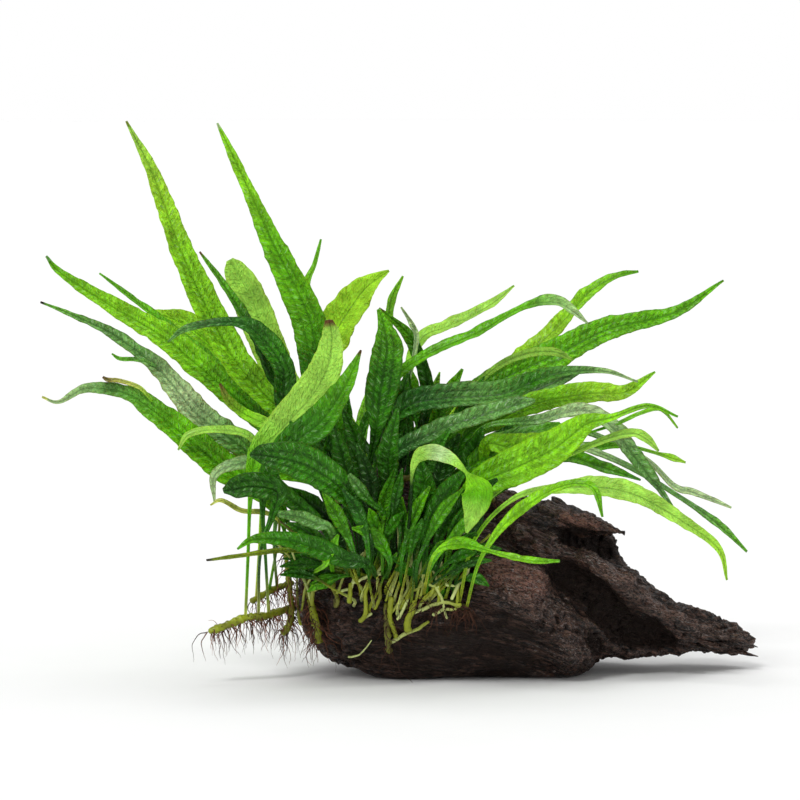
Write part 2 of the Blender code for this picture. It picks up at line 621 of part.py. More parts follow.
def main():
    start_empty()
    wood = make_driftwood()
    stems = make_stems(wood)
    make_left_leaves(stems)
    make_middle_leaves(stems)
    make_right_leaves(stems)


main()
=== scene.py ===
"""The looks of a java fern that grows on a piece of driftwood.

Each leaf, creeping stem and the wood itself is modelled again in fine detail where its plain solid lies, and
the smallest leaves, stalks, roots and root hairs are added.

Lengths are in millimetres. The fern's points are given as they are seen from the front, a little above level:
x to the right, height up the picture, and a depth that grows away from the viewer.
"""

import math
import random

import bpy
import numpy as np
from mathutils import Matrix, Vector, noise
from mathutils.bvhtree import BVHTree


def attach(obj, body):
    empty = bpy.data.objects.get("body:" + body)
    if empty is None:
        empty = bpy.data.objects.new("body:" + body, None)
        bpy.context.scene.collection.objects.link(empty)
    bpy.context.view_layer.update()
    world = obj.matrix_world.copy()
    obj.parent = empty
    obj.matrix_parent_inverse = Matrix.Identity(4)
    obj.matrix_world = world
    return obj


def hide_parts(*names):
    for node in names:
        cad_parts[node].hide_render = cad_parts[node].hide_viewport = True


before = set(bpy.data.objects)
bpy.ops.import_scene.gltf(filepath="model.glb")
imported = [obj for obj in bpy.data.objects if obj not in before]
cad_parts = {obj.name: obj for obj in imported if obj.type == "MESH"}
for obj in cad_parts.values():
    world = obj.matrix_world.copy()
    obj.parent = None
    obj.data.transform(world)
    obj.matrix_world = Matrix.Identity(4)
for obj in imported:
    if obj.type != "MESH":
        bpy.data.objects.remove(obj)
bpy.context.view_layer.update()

MM = 0.001

# How the plant is seen
VIEW_RISE = math.radians(8)
VIEW_DISTANCE = 2000
VIEW_WIDTH = 320
SIGHT_REACH = 200
CONTACT_DEPTH = -25
MIDDLE_DEPTH = -16
LOOK = np.array([0, math.cos(VIEW_RISE), -math.sin(VIEW_RISE)])

# The camera, which shows the points where they are given to within about a millimetre
CAMERA_RISE = math.radians(4.6)
CAMERA_AIM = np.array([0, -MIDDLE_DEPTH, 109.25])
PICTURE_CENTRE_HEIGHT = 111.6

# The crown, where the leaf fan has its centre
CROWN_X = -6
CROWN_HEIGHT = 64
CROWN_DEPTH = -20
FAN_REACH = 40
FAN_CURVE = 70

# Leaves
STALK_WIDTH = 1.2
BLADE_WIDTH = 3.5
LEAST_WIDTH = 0.45
BLADE_THICKNESS = 0.4
MIDRIB_HEIGHT = 0.55
MIDRIB_HALF_WIDTH = 0.6
ROOT_SINK = 0.9
ROLL_RAMP = 2
LEAF_STEP = 1.0
BLADE_COLUMNS = 9
WIDE_BLADE_COLUMNS = 15
CELL_LENGTH = 3.4
VEIN_SLANT = 0.85
SPOT_ROW = 0.4
SPOT_ROW_HALF = 0.16
SPOT_HALF = 0.3
BLISTER_HEIGHT = 0.75
WIDE_BLADE = 8
TIP_LENGTH = 3.2
EDGE_RAGGEDNESS = 0.055
OUTLINE_UNEVENNESS = 0.05
TINT_UNEVENNESS = 0.16
RIPPLE_HEIGHT = 0.9

# How long the uneven waves along a leaf are, in millimetres
OUTLINE_WAVE = 14
RAGGED_WAVE = 6
VEIN_WAVE = 31
VEIN_SIDE_WAVE = 17
SWELL_WAVE = 23
RIPPLE_WAVE = 26
RIPPLE_SIDE_WAVE = 19
TINT_WAVE = 21
TIP_WAVE = 3

# The wood
WOOD_FACE = 0.78
WOOD_SOFTENING = 6
SHAPE_STEEPNESS = 2.6
TAIL_START = 95
GRAIN_LINE = [(-60, 38), (-10, 37), (25, 33), (50, 26), (80, 14), (110, 5), (150, -3)]
BELLY_LINE = [(0, 8), (25, 12), (45, 9)]
BELLY_HALF_WIDTH = 13

# Shapes on the wood's front, as seen: how far out, half width, lightness (below zero it is painted shade in
# the hollows), redness, pitting, and a line
WOOD_SHAPES = [
    (0.9, 3.0, 0.05, 0.8, 0.2, [(66, 64), (77, 60.5)]),
    (1.2, 3.6, 0.5, 0.2, 0.4, [(46, 72), (62, 68), (78, 63), (86, 60)]),
    (-4.4, 4.0, -1.4, 0.0, 0.0, [(67, 57), (78, 54.5), (88, 50)]),
    (3.2, 3.6, 0.5, 0.2, 0.4, [(47, 58), (63, 53), (71, 51), (80, 45), (88, 39)]),
    (3.0, 3.2, 0.5, 0.1, 0.4, [(88, 39), (96, 32), (105, 26), (118, 18)]),
    (-4.8, 5.4, -1.1, 0.0, 0.0, [(66, 42), (76, 36), (85, 26), (92, 18)]),
    (2.8, 5.4, 0.9, 1.3, 0.35, [(31, 43), (42, 42), (53, 37)]),
    (-3.8, 4.4, -1.1, 0.0, 0.0, [(20.5, 44), (27, 43.5)]),
    (4.0, 1.9, 0.6, 0.3, 0.2, [(23.6, 43.6), (24.4, 43.4)]),
    (2.4, 7.0, 0.35, 0.1, 1.0, [(49, 34), (64, 21), (77, 9)]),
    (-3.4, 3.2, -1.1, 0.0, 0.0, [(78, 15), (81, 8)]),
    (-3.6, 3.6, -1.1, 0.0, 0.0, [(99, 20), (106, 15)]),
    (2.6, 2.0, 0.6, 0.2, 0.2, [(111, 17.5), (113, 16.5)]),
    (1.4, 2.4, 0.8, 0.0, 0.4, [(118, 21), (128, 19), (138, 15)]),
    (0.8, 1.1, 0.8, 0.0, 0.0, [(100, 29), (107, 25), (116, 21.6)]),
    (0.8, 3.5, 0.3, 0.6, 0.1, [(39, 73), (45, 69)]),
]
SPLINTERS = 22
SPLINTER_SPAN = (108, 136)
SPLINTER_HEIGHT = 23
WOOD_SINK = 1.2
TAIL_SINK = 0.9

# Creeping stems, small stalks and roots
# How far each stem's colour goes towards the stem green; the front stem starts from the shaded stem colour,
# which is painted shade under the leaves.
STEM_GREEN_SHARES = {"top": 0.25, "back": 0.25, "front": 0.0, "right": 0.3}
FRONT_DEPTH = -40
STEM_SIDES = 20
STALK_SIDES = 10
STALK_LIFT_FROM = 20
STALK_LIFT = 0.3
STALK_OUT = 0.6
STALK_CLEARANCE = 1.2
STRAND_STEP = 0.5
FLOOR_CLEARANCE = 0.3
ROOT_SIDES = 4
ROOT_STEP = 1.1
ROOT_CLEARANCE = 0.22
ROOT_BEND = 0.28
ROOT_CLING_WITHIN = 2.5
ROOT_CLING_STEP = 0.35
STEM_GAP = 0.7
STEM_SWELL = 1.12
CURVE_STEPS = 840
STEM_STEPS = 8
LONG_STEM_STEPS = 14


def srgb(red, green, blue):
    """A colour as a shader takes it, from the numbers a screen shows it with."""
    shares = (value / 255 for value in (red, green, blue))
    return tuple(v / 12.92 if v <= 0.04045 else ((v + 0.055) / 1.055) ** 2.4 for v in shares)


COLOURS = {
    # Painted shade: the darkest green, and dark where it is used on the inner and young leaves, stand for the
    # shade deep in the clump; dark is elsewhere a darker leaf green.
    "night": srgb(20, 50, 8),
    "dark": srgb(32, 84, 6),
    "deep": srgb(50, 118, 6),
    "mid": srgb(94, 172, 8),
    "fresh": srgb(128, 200, 26),
    "lime": srgb(152, 210, 42),
    "pale": srgb(150, 204, 74),
    "ash": srgb(168, 200, 136),
    "grey": srgb(92, 146, 64),
    "blue": srgb(42, 98, 28),
    "olive": srgb(116, 138, 26),
    "straw": srgb(188, 200, 90),
    "brown": srgb(92, 66, 32),
    "black": srgb(38, 30, 20),
    "stem": srgb(150, 162, 40),
    "stalk": srgb(206, 220, 140),
    "dull stem": srgb(88, 84, 34),
    "shaded stem": srgb(36, 30, 16),
    "root": srgb(62, 38, 26),
    "pink root": srgb(150, 96, 74),
}


def unit(vectors):
    return vectors / np.linalg.norm(vectors, axis=-1, keepdims=True)


def place(x, height, depth):
    """The real place of a point given as it is seen from the front."""
    scale = 1 + depth / VIEW_DISTANCE
    raised = (depth - CONTACT_DEPTH) * math.sin(VIEW_RISE)
    z = (height * scale - raised) / math.cos(VIEW_RISE)
    return np.array([x * scale, depth - MIDDLE_DEPTH, z])


def smooth_curve(points, per_span=20):
    """Points on a smooth curve through the given ones, which may hold more values than a place."""
    given = np.array(points, float)
    padded = np.vstack([2 * given[0] - given[1], given, 2 * given[-1] - given[-2]])
    t = np.linspace(0, 1, per_span, endpoint=False)[:, None]
    spans = []
    for before, start, end, after in zip(padded, padded[1:], padded[2:], padded[3:]):
        spans.append(
            0.5
            * (
                2 * start
                + (end - before) * t
                + (2 * before - 5 * start + 4 * end - after) * t**2
                + (3 * start - before - 3 * end + after) * t**3
            )
        )
    return np.vstack([*spans, given[-1:]])


def along_curve(points, spacing):
    """The curve's points, evenly spaced, with the share of the way through its own points as a last value,
    and each point's distance from the start."""
    gaps = np.linalg.norm(np.diff(points[:, :3], axis=0), axis=1)
    length = np.concatenate([[0], np.cumsum(gaps)])
    count = max(6, round(length[-1] / spacing))
    at = np.linspace(0, length[-1], count + 1)
    share = np.linspace(0, 1, len(points))
    return np.array([np.interp(at, length, column) for column in (*points.T, share)]).T, at


def grid_faces(rows, columns, closed):
    """The faces of a grid of points, row by row, whose rows are closed rings or open strips."""
    starts = np.arange(rows - 1), np.arange(columns if closed else columns - 1)
    row, column = np.meshgrid(*starts, indexing="ij")
    here = row * columns
    beyond = here + columns
    following = (column + 1) % columns
    corners = (here + column, here + following, beyond + following, beyond + column)
    return np.stack(corners, axis=-1).reshape(-1, 4)


def new_mesh(name, points, faces, look):
    """A shaded piece from points in millimetres and faces of four corners."""
    mesh = bpy.data.meshes.new(name)
    mesh.vertices.add(len(points))
    mesh.vertices.foreach_set("co", (points * MM).astype(np.float32).ravel())
    mesh.loops.add(faces.size)
    mesh.loops.foreach_set("vertex_index", faces.astype(np.int32).ravel())
    mesh.polygons.add(len(faces))
    mesh.polygons.foreach_set("loop_start", np.arange(0, faces.size, 4, dtype=np.int32))
    mesh.update(calc_edges=True)
    mesh.shade_smooth()
    mesh.materials.append(look)
    piece = bpy.data.objects.new(name, mesh)
    bpy.context.scene.collection.objects.link(piece)
    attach(piece, "root")
    return piece


def set_values(piece, name, values):
    """Gives a piece's points a number each, or a colour or place each, that its material reads."""
    kind, field = "FLOAT", "value"
    if values.ndim == 2:
        kind, field = "FLOAT_COLOR", "color"
        values = np.hstack([values, np.ones((len(values), 1))])
    attribute = piece.data.attributes.new(name, kind, "POINT")
    attribute.data.foreach_set(field, values.astype(np.float32).ravel())


def blended(first, second, share):
    """A colour that goes from the first to the second by a share."""
    return np.array(COLOURS[first]) * (1 - share) + np.array(COLOURS[second]) * share


# Materials


class Value:
    """A node's output, which plain arithmetic can work on."""

    def __init__(self, nodes, socket):
        self.nodes = nodes
        self.socket = socket

    def __add__(self, other):
        return self.nodes.math("ADD", self, other)

    def __sub__(self, other):
        return self.nodes.math("SUBTRACT", self, other)

    def __rsub__(self, other):
        return self.nodes.math("SUBTRACT", other, self)

    def __mul__(self, other):
        return self.nodes.math("MULTIPLY", self, other)

    def __truediv__(self, other):
        return self.nodes.math("DIVIDE", self, other)


class Nodes:
    """The nodes of a material or a world, made by short calls. An input is a Value or a plain number."""

    def __init__(self, owner):
        owner.use_nodes = True
        self.owner = owner
        self.tree = owner.node_tree

    def fill(self, node, inputs):
        for key, value in inputs.items():
            if isinstance(value, Value):
                self.tree.links.new(value.socket, node.inputs[key])
            else:
                node.inputs[key].default_value = value

    def add(self, kind, output, inputs, **settings):
        node = self.tree.nodes.new("ShaderNode" + kind)
        for key, value in settings.items():
            setattr(node, key, value)
        self.fill(node, inputs)
        return Value(self, node.outputs[output])

    def math(self, operation, *values):
        return self.add("Math", 0, dict(enumerate(values)), operation=operation)

    def ramp(self, value, low, high, to_low=0.0, to_high=1.0):
        inputs = {"Value": value, "From Min": low, "From Max": high, "To Min": to_low, "To Max": to_high}
        return self.add("MapRange", "Result", inputs, interpolation_type="SMOOTHSTEP")

    def mix(self, share, first, second):
        return self.add("Mix", 2, {0: share, 6: first, 7: second}, data_type="RGBA")

    def scaled(self, vector, factors):
        return self.add("VectorMath", 0, {0: vector, 1: factors}, operation="MULTIPLY")

    def shaded(self, colour, shade):
        return self.add("VectorMath", 0, {0: colour, "Scale": shade}, operation="SCALE")

    def value(self, name, output="Fac"):
        return self.add("Attribute", output, {}, attribute_name=name)

    def noise(self, vector, scale, detail=3.0, roughness=0.55):
        inputs = {"Vector": vector, "Scale": scale, "Detail": detail, "Roughness": roughness}
        return self.add("TexNoise", "Fac", inputs)

    def cells(self, vector, scale, feature, output="Distance"):
        return self.add("TexVoronoi", output, {"Vector": vector, "Scale": scale}, feature=feature)

    def finish(self, colour, roughness, height, bump_distance, **plain):
        bump = {"Height": height, "Strength": 1.0, "Distance": bump_distance * MM}
        inputs = {"Base Color": colour, "Roughness": roughness, "Normal": self.add("Bump", "Normal", bump)}
        self.fill(self.tree.nodes["Principled BSDF"], {**inputs, **plain})
        return self.owner


def leaf_material(kind, mottle, relief, vein_light, painted_glint_lines, roughness, coat):
    """A leaf: darker and lighter cells about the midrib, slanting side veins, painted shade and glints on the
    blisters, and an uneven sheen.
    """
    n = Nodes(bpy.data.materials.new("leaf_" + kind))
    flat = n.add("UVMap", "UV", {}, uv_map="leaf")
    across = n.add("SeparateXYZ", "X", {0: flat})
    along = n.add("SeparateXYZ", "Y", {0: flat})
    aside = n.math("ABSOLUTE", across)
    slanted = along - aside * VEIN_SLANT
    leaning = n.add("CombineXYZ", 0, {0: across, 1: slanted})
    from_vein = n.math("PINGPONG", slanted, 0.5)
    vein = n.ramp(from_vein, 0.02, 0.12, 1.0, 0.0)
    rib = n.ramp(aside, 0.03, 0.13, 1.0, 0.0)
    share = n.math("ABSOLUTE", n.value("across"))
    inner = n.ramp(share, 0.5, 0.95, 1.0, 0.3)
    each = n.add("SeparateXYZ", "X", {0: n.cells(leaning, 1.9, "F1", "Color")})
    edges = n.cells(leaning, 1.9, "DISTANCE_TO_EDGE")
    net = n.ramp(edges, 0.02, 0.14, 1.0, 0.0)
    pits = n.ramp(n.cells(leaning, 3.1, "F1"), 0.12, 0.34, 1.0, 0.0)
    patches = n.noise(flat, 0.4)
    grain = n.noise(flat, 7)
    off_row = (share - SPOT_ROW) / SPOT_ROW_HALF
    off_middle = (0.5 - from_vein) / SPOT_HALF
    off_spot = n.math("SQRT", off_row * off_row + off_middle * off_middle)
    spot = n.ramp(off_spot, 0.5, 1.1, 1.0, 0.0) * n.ramp(each, 0.2, 0.6)

    shade = n.ramp(each, 0.1, 0.8) * inner * (mottle * 0.7) + pits * inner * (mottle * 0.45)
    shade = 1.12 - shade - spot * (mottle * 0.75)
    shade = shade * n.ramp(patches, 0.3, 0.7, 0.8, 1.16) * n.ramp(grain, 0.25, 0.75, 0.95, 1.05)
    streaks = n.noise(n.scaled(flat, (5.0, 0.5, 1.0)), 1.0, 2)
    shade = shade * n.ramp(streaks, 0.3, 0.7, 0.86, 1.14)
    swell = n.value("swell") + n.ramp(grain, 0.2, 0.8, -0.2, 0.2)
    # Painted light and shade over the blisters: lighter on their crests and darker between them, by the
    # relief share.
    shade = shade * n.ramp(swell, 0.1, 0.8, 1 - relief, 1 + 0.5 * relief)
    tint = n.value("tint", "Color")
    plain = n.shaded(tint, shade)
    vein_share = n.math("MAXIMUM", vein, net * 0.7) * vein_light * inner
    colour = n.mix(vein_share, plain, n.scaled(plain, (1.7, 1.4, 1.6)))
    colour = n.mix(rib * 0.7, colour, n.shaded(tint, n.value("rib")))
    colour = n.mix(n.ramp(share, 0.8, 1.0, 0.0, 0.5), colour, n.scaled(tint, (1.35, 1.15, 0.9)))

    # Painted glints: light grey-green lines along the veins on the blisters' crests.
    lines = n.noise(n.scaled(leaning, (1.3, 5.0, 1.0)), 1.0)
    painted_glints = n.ramp(lines, 0.52, 0.62) * n.ramp(patches, 0.35, 0.6, 0.3, 1.0) * n.ramp(swell, 0.35, 0.75)
    colour = n.mix(painted_glints * painted_glint_lines, colour, (*srgb(158, 192, 142), 1))

    height = n.ramp(edges, 0.0, 0.3) * 0.7 + lines * 0.6 - pits * 0.4
    rough = n.ramp(patches, 0.25, 0.75, roughness - 0.08, roughness + 0.1)
    shine = {"Coat Weight": coat, "Coat Roughness": 0.2, "Specular IOR Level": 0.1,
             "Subsurface Weight": 0.1, "Subsurface Scale": 0.0012}
    return n.finish(colour, rough, height, 0.5, **shine)


def stem_material(name, flecked, dulled):
    """A stem: green with duller patches, flecked with brown."""
    n = Nodes(bpy.data.materials.new(name))
    place_on = n.add("TexCoord", "Object", {})
    fleck = n.ramp(n.cells(place_on, 900, "F1"), 0.16, 0.34, 1.0, 0.0)
    patches = n.noise(place_on, 160, 4)
    grain = n.noise(place_on, 1400, 2)
    tint = n.value("tint", "Color")
    colour = n.mix(n.ramp(patches, 0.35, 0.7, 0.0, dulled), tint, n.scaled(tint, (0.5, 0.45, 0.4)))
    colour = n.mix(fleck * flecked, colour, (*srgb(70, 46, 24), 1))
    rough = n.ramp(patches, 0.3, 0.7, 0.34, 0.55)
    shine = {"Coat Weight": 0.25, "Coat Roughness": 0.15, "Specular IOR Level": 0.15}
    return n.finish(colour, rough, fleck * 0.5 + grain * 0.5, 0.2, **shine)


def root_material():
    """Fine roots: dark brown to a pinkish brown, by each hair's own shade."""
    n = Nodes(bpy.data.materials.new("root"))
    grain = n.noise(n.add("TexCoord", "Object", {}), 900)
    tint = n.value("tint", "Color")
    dark, light = n.scaled(tint, (0.6, 0.6, 0.6)), n.scaled(tint, (1.3, 1.25, 1.2))
    rough = n.ramp(grain, 0.3, 0.7, 0.45, 0.7)
    colour = n.mix(n.ramp(grain, 0.3, 0.7), dark, light)
    return n.finish(colour, rough, grain, 0.05, **{"Specular IOR Level": 0.2})


def wood_material():
    """Waterlogged wood: nearly black, with browner crests, reddish patches, long fibres, painted shade in its
    hollows and painted glints.
    """
    n = Nodes(bpy.data.materials.new("wet_wood"))
    place_on = n.add("TexCoord", "Object", {})
    grain_place = n.value("grain", "Vector")

    def fibrous(along, across, detail, roughness):
        return n.noise(n.scaled(grain_place, (along, across, across)), 1.0, detail, roughness)

    fibres = fibrous(0.06, 0.6, 5, 0.7)
    fine = fibrous(0.6, 2.2, 4, 0.7)
    chips = fibrous(0.45, 0.9, 3, 0.6)
    streaks = fibrous(0.3, 1.6, 3, 0.6)
    grit = n.noise(place_on, 1700, 3, 0.65)
    mottle = n.noise(place_on, 70, 4, 0.6)
    crest_and_hollow_shade = n.value("crest_and_hollow_shade")

    dark = (*srgb(12, 9, 8), 1)
    brown = (*srgb(108, 80, 67), 1)
    red = (*srgb(176, 124, 107), 1)
    dust = (*srgb(150, 122, 107), 1)
    # Painted shade colour for the hollows.
    hollow_shade = (*srgb(46, 37, 33), 1)
    # Painted glint colours, in streaks and specks.
    glint_streak = (*srgb(176, 162, 156), 1)
    glint = (*srgb(196, 182, 172), 1)
    colour = n.mix(n.ramp(fibres * 0.6 + fine * 0.4, 0.44, 0.6), dark, brown)
    rubbed = n.ramp(crest_and_hollow_shade, 0.4, 1.3, 0.0, 0.9) * n.ramp(fine, 0.46, 0.64, 0.05, 1.0)
    colour = n.mix(rubbed, colour, dust)
    colour = n.mix(n.value("reddish") * n.ramp(fine, 0.38, 0.6, 0.1, 0.85), colour, red)
    colour = n.mix(n.ramp(chips, 0.34, 0.44, 0.8, 0.0), colour, dark)
    # Painted shade in the hollows, grooves, pits and on the belly, where the raised-part value is low.
    colour = n.mix(n.ramp(crest_and_hollow_shade, -0.15, 0.5, 0.9, 0.0), colour, hollow_shade)
    # Painted glints: pale streaks along the fibres on the raised parts.
    painted_glints = n.ramp(streaks, 0.57, 0.63) * n.ramp(crest_and_hollow_shade, 0.1, 0.8, 0.06, 0.7)
    colour = n.mix(painted_glints * n.ramp(mottle, 0.4, 0.6, 0.2, 1.0), colour, glint_streak)
    # Painted glints: pale specks on the pitted parts and the highest raised parts.
    glint_specks = n.value("pitted") * 0.9 + n.ramp(crest_and_hollow_shade, 0.6, 1.4, 0.03, 0.45)
    colour = n.mix(n.ramp(grit, 0.6, 0.72) * glint_specks, colour, glint)

    height = fibres + fine * 0.7 + grit * 0.5 + n.ramp(chips, 0.36, 0.5)
    rough = n.ramp(mottle, 0.3, 0.7, 0.36, 0.62) + n.ramp(grit, 0.3, 0.7, -0.06, 0.1)
    wet_crests = n.ramp(crest_and_hollow_shade, 0.0, 0.6, 0.02, 0.3)
    shine = {"Coat Weight": wet_crests, "Coat Roughness": 0.12, "Specular IOR Level": 0.12}
    return n.finish(colour, rough, height, 2.4, **shine)


# Kinds of leaf: mottling, relief (painted light and shade on the blisters), lightness of the veins, painted
# glint lines, roughness and coat
LEAF_KINDS = {
    "green": (0.3, 0.26, 0.26, 0.4, 0.44, 0.12),
    "deep": (0.34, 0.4, 0.26, 0.42, 0.4, 0.14),
    "bluish": (0.34, 0.42, 0.4, 0.85, 0.38, 0.2),
    "pale": (0.05, 0.08, 0.1, 0.1, 0.46, 0.1),
}
LEAF_LOOKS = {kind: leaf_material(kind, *values) for kind, values in LEAF_KINDS.items()}
STEM_LOOK = stem_material("creeping_stem", 0.8, 1.0)
STALK_LOOK = stem_material("small_stalk", 0.25, 0.4)
ROOT_LOOK = root_material()
WOOD_LOOK = wood_material()


# The driftwood


def tree_of(mesh):
    """A search tree of a mesh's faces, in millimetres."""
    points = [v.co / MM for v in mesh.vertices]
    return BVHTree.FromPolygons(points, [tuple(p.vertices) for p in mesh.polygons])


solid_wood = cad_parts["driftwood"]
wood_tree = tree_of(solid_wood.data)


def as_seen(points):
    """The x and height at which the camera shows real places."""
    x, back, up = (points - CAMERA_AIM).T
    raised = back * math.sin(CAMERA_RISE) + up * math.cos(CAMERA_RISE)
    away = back * math.cos(CAMERA_RISE) - up * math.sin(CAMERA_RISE)
    nearness = 1 / (1 + away / VIEW_DISTANCE)
    return np.stack([x * nearness, PICTURE_CENTRE_HEIGHT + raised * nearness], axis=-1)


def smooth_step(values, low, high):
    t = np.clip((values - low) / (high - low), 0, 1)
    return t * t * (3 - 2 * t)


def noise_at(points, stretch, shift):
    """Smooth noise at each place, with the lengths along each axis divided by the stretch."""
    return np.array([noise.noise(spot) for spot in (points / np.array(stretch) + shift).tolist()])


def off_line(places, line):
    """How far each place is from a line through points."""
    nearest = np.full(len(places), np.inf)
    for start, end in zip(np.array(line, float), np.array(line[1:], float)):
        run = end - start
        share = np.clip((places - start) @ run / (run @ run), 0, 1)
        nearest = np.minimum(nearest, np.linalg.norm(places - start - share[:, None] * run, axis=1))
    return nearest


def along_grain(points):
    """Places measured along the grain, whose fibres bend down towards the tail."""
    x, height = smooth_curve(GRAIN_LINE).T
    measured = points.copy()
    measured[:, 2] -= np.interp(points[:, 0], x, height)
    return measured


def make_driftwood():
    """The wood: its solid with even small faces, pushed in and out into fibres, grooves, pits and bosses."""
    plain = bpy.data.objects.new("plain_wood", solid_wood.data.copy())
    bpy.context.scene.collection.objects.link(plain)
    even = plain.modifiers.new("even", "REMESH")
    even.mode = "VOXEL"
    even.voxel_size = WOOD_FACE * MM
    soften = plain.modifiers.new("soften", "SMOOTH")
    soften.iterations = WOOD_SOFTENING
    mesh = bpy.data.meshes.new_from_object(plain.evaluated_get(bpy.context.evaluated_depsgraph_get()))
    bpy.data.objects.remove(plain)

    points = np.empty(len(mesh.vertices) * 3, np.float32)
    mesh.vertices.foreach_get("co", points)
    points = points.reshape(-1, 3).astype(float) / MM
    normals = np.array([tuple(v.vector) for v in mesh.vertex_normals])
    faces = np.empty(len(mesh.polygons) * 4, np.int32)
    mesh.polygons.foreach_get("vertices", faces)
    bpy.data.meshes.remove(mesh)

    seen = as_seen(points)
    front = smooth_step(-(normals @ LOOK), 0.0, 0.4)
    grain = along_grain(points)
    waves = noise_at(grain, (40, 7, 7), 3.1)
    fibres = noise_at(grain, (26, 2.6, 2.6), 7.7)
    threads = noise_at(grain, (12, 1.2, 1.2), 1.3)
    lumps = noise_at(points, (8, 8, 8), 5.2)
    pits = smooth_step(noise_at(points, (1.9, 1.9, 1.9), 9.9), 0.1, 0.4)
    rough = noise_at(grain, (3.2, 1.5, 1.5), 12.1)
    grooves = smooth_step(0.13 - np.abs(fibres), 0, 0.13) * smooth_step(waves + lumps, -0.25, 0.3)

    calm = np.exp(-((off_line(seen, BELLY_LINE) / BELLY_HALF_WIDTH) ** 2)) * front
    tail = smooth_step(points[:, 0], TAIL_START, TAIL_START + 25)
    broken = 1 - 2 * np.abs(noise_at(grain, (5, 2.4, 2.4), 15.4))
    relief = 1.0 * fibres + 0.6 * threads + 0.9 * rough + 0.8 * broken - 1.4 * grooves
    out = 1.3 * waves + 1.1 * lumps + relief * (1 - 0.85 * calm)
    out = out + tail * (1.4 * fibres + 0.8 * broken - 1.2 * grooves) - WOOD_SINK - TAIL_SINK * tail
    # This value is higher on raised parts and lower in grooves, hollows, pits and on the belly; the material
    # paints shade where it is low and dust and glints where it is high.
    crest_and_hollow_shade = 0.4 + 0.5 * waves + 0.35 * fibres + 0.3 * threads + 0.3 * rough - 0.4 * grooves + 0.15 * tail
    reddish = 0.15 * smooth_step(noise_at(points, (14, 14, 14), 2.2), 0.2, 0.5)
    pitted = 0.15 * smooth_step(noise_at(points, (12, 12, 12), 6.6), 0.1, 0.4) * (1 - calm)
    for rise, half_width, lightness, redness, pitting, line in WOOD_SHAPES:
        near = np.exp(-((off_line(seen, line) / half_width) ** SHAPE_STEEPNESS)) * front
        out = out + rise * near
        crest_and_hollow_shade = crest_and_hollow_shade + lightness * near
        reddish = reddish + redness * near
        pitted = pitted + pitting * near
    out = out - 0.9 * pits * np.clip(pitted * 1.3, 0, 1)
    crest_and_hollow_shade = crest_and_hollow_shade - 0.5 * pits * np.clip(pitted, 0, 1) - 0.45 * calm
    out = out * smooth_step(points[:, 2], 0, 3)
    points = points + normals * out[:, None]
    points[:, 2] = np.maximum(points[:, 2], 0)

    piece = new_mesh("driftwood_fine", points, faces.reshape(-1, 4), WOOD_LOOK)
    set_values(piece, "crest_and_hollow_shade", crest_and_hollow_shade)
    set_values(piece, "reddish", np.clip(reddish, 0, 1))
    set_values(piece, "pitted", np.clip(pitted, 0, 1))
    set_values(piece, "grain", along_grain(points))
    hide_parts("driftwood")
    return tree_of(piece.data)


def seen_on_wood(tree, x, height, out):
    """Where the line of sight through a place as seen meets the wood, moved out of it by so much.

    A line of sight that misses the wood stops at the depth of the front stems.
    """
    start = Vector(place(x, height, -SIGHT_REACH))
    through = Vector(place(x, height, SIGHT_REACH))
    hit, normal, _, _ = tree.ray_cast(start, through - start)
    return place(x, height, FRONT_DEPTH) if hit is None else np.array(hit + normal * out)


def lifted(tree, spot, clearance):
    """The place itself, or, when it is nearer to the wood than the clearance, the place moved out to that."""
    near, normal, _, _ = tree.find_nearest(spot)
    height = (Vector(spot) - near).dot(normal)
    return np.array(near + normal * clearance) if height < clearance else np.array(spot)


# Creeping stems


class Stem:
    """The line of a creeping stem, as its solid has it: points with a radius, in millimetres."""

    def __init__(self, points):
        self.points = [(Vector(values[:3]), values[3]) for values in points]

    def leaf_root(self, x):
        """Where a leaf stalk starts, just inside the top of the stem at this x."""
        for (start, start_radius), (end, end_radius) in zip(self.points, self.points[1:]):
            if min(start.x, end.x) <= x <= max(start.x, end.x):
                share = (x - start.x) / (end.x - start.x)
                radius = max(start_radius, end_radius) * STEM_SWELL
                axis = (end - start).normalized()
                up = Vector((0, 0, 1))
                out = (up - axis * up.dot(axis)).normalized()
                return start.lerp(end, share) + out * (radius - ROOT_SINK)
        raise ValueError("the stem doesn't reach this x")

    def end_root(self):
        """Where a leaf stalk goes on from the stem's last point."""
        last = self.points[-1][0]
        before = self.points[-2][0]
        return last - (last - before).normalized() * ROOT_SINK


def equal_steps(points, steps):
    """Places at equal steps along the smooth curve through points."""
    fine = smooth_curve(points, CURVE_STEPS)
    return fine[np.round(np.linspace(0, len(fine) - 1, steps + 1)).astype(int)]


def free_stem(points):
    """A stem given by points as seen, each x, height, depth and radius."""
    return Stem(equal_steps([(*place(x, h, d), r) for x, h, d, r in points], STEM_STEPS))


def clinging_stem(points, from_direction, steps=STEM_STEPS):
    """A stem laid on the wood: each point is x, a second coordinate and a radius, looked up from one side."""
    laid = []
    for x, second, radius in equal_steps([(x, s, r) for x, s, r in points], steps):
        if from_direction == "top":
            start, look = Vector((x, second - MIDDLE_DEPTH, SIGHT_REACH)), Vector((0, 0, -1))
        else:
            start, look = Vector((x, -SIGHT_REACH, second)), Vector((0, 1, 0))
        hit, normal, _, _ = wood_tree.ray_cast(start, look)
        laid.append((*(hit + normal * (radius * STEM_SWELL + STEM_GAP)), radius))
    return Stem(laid)


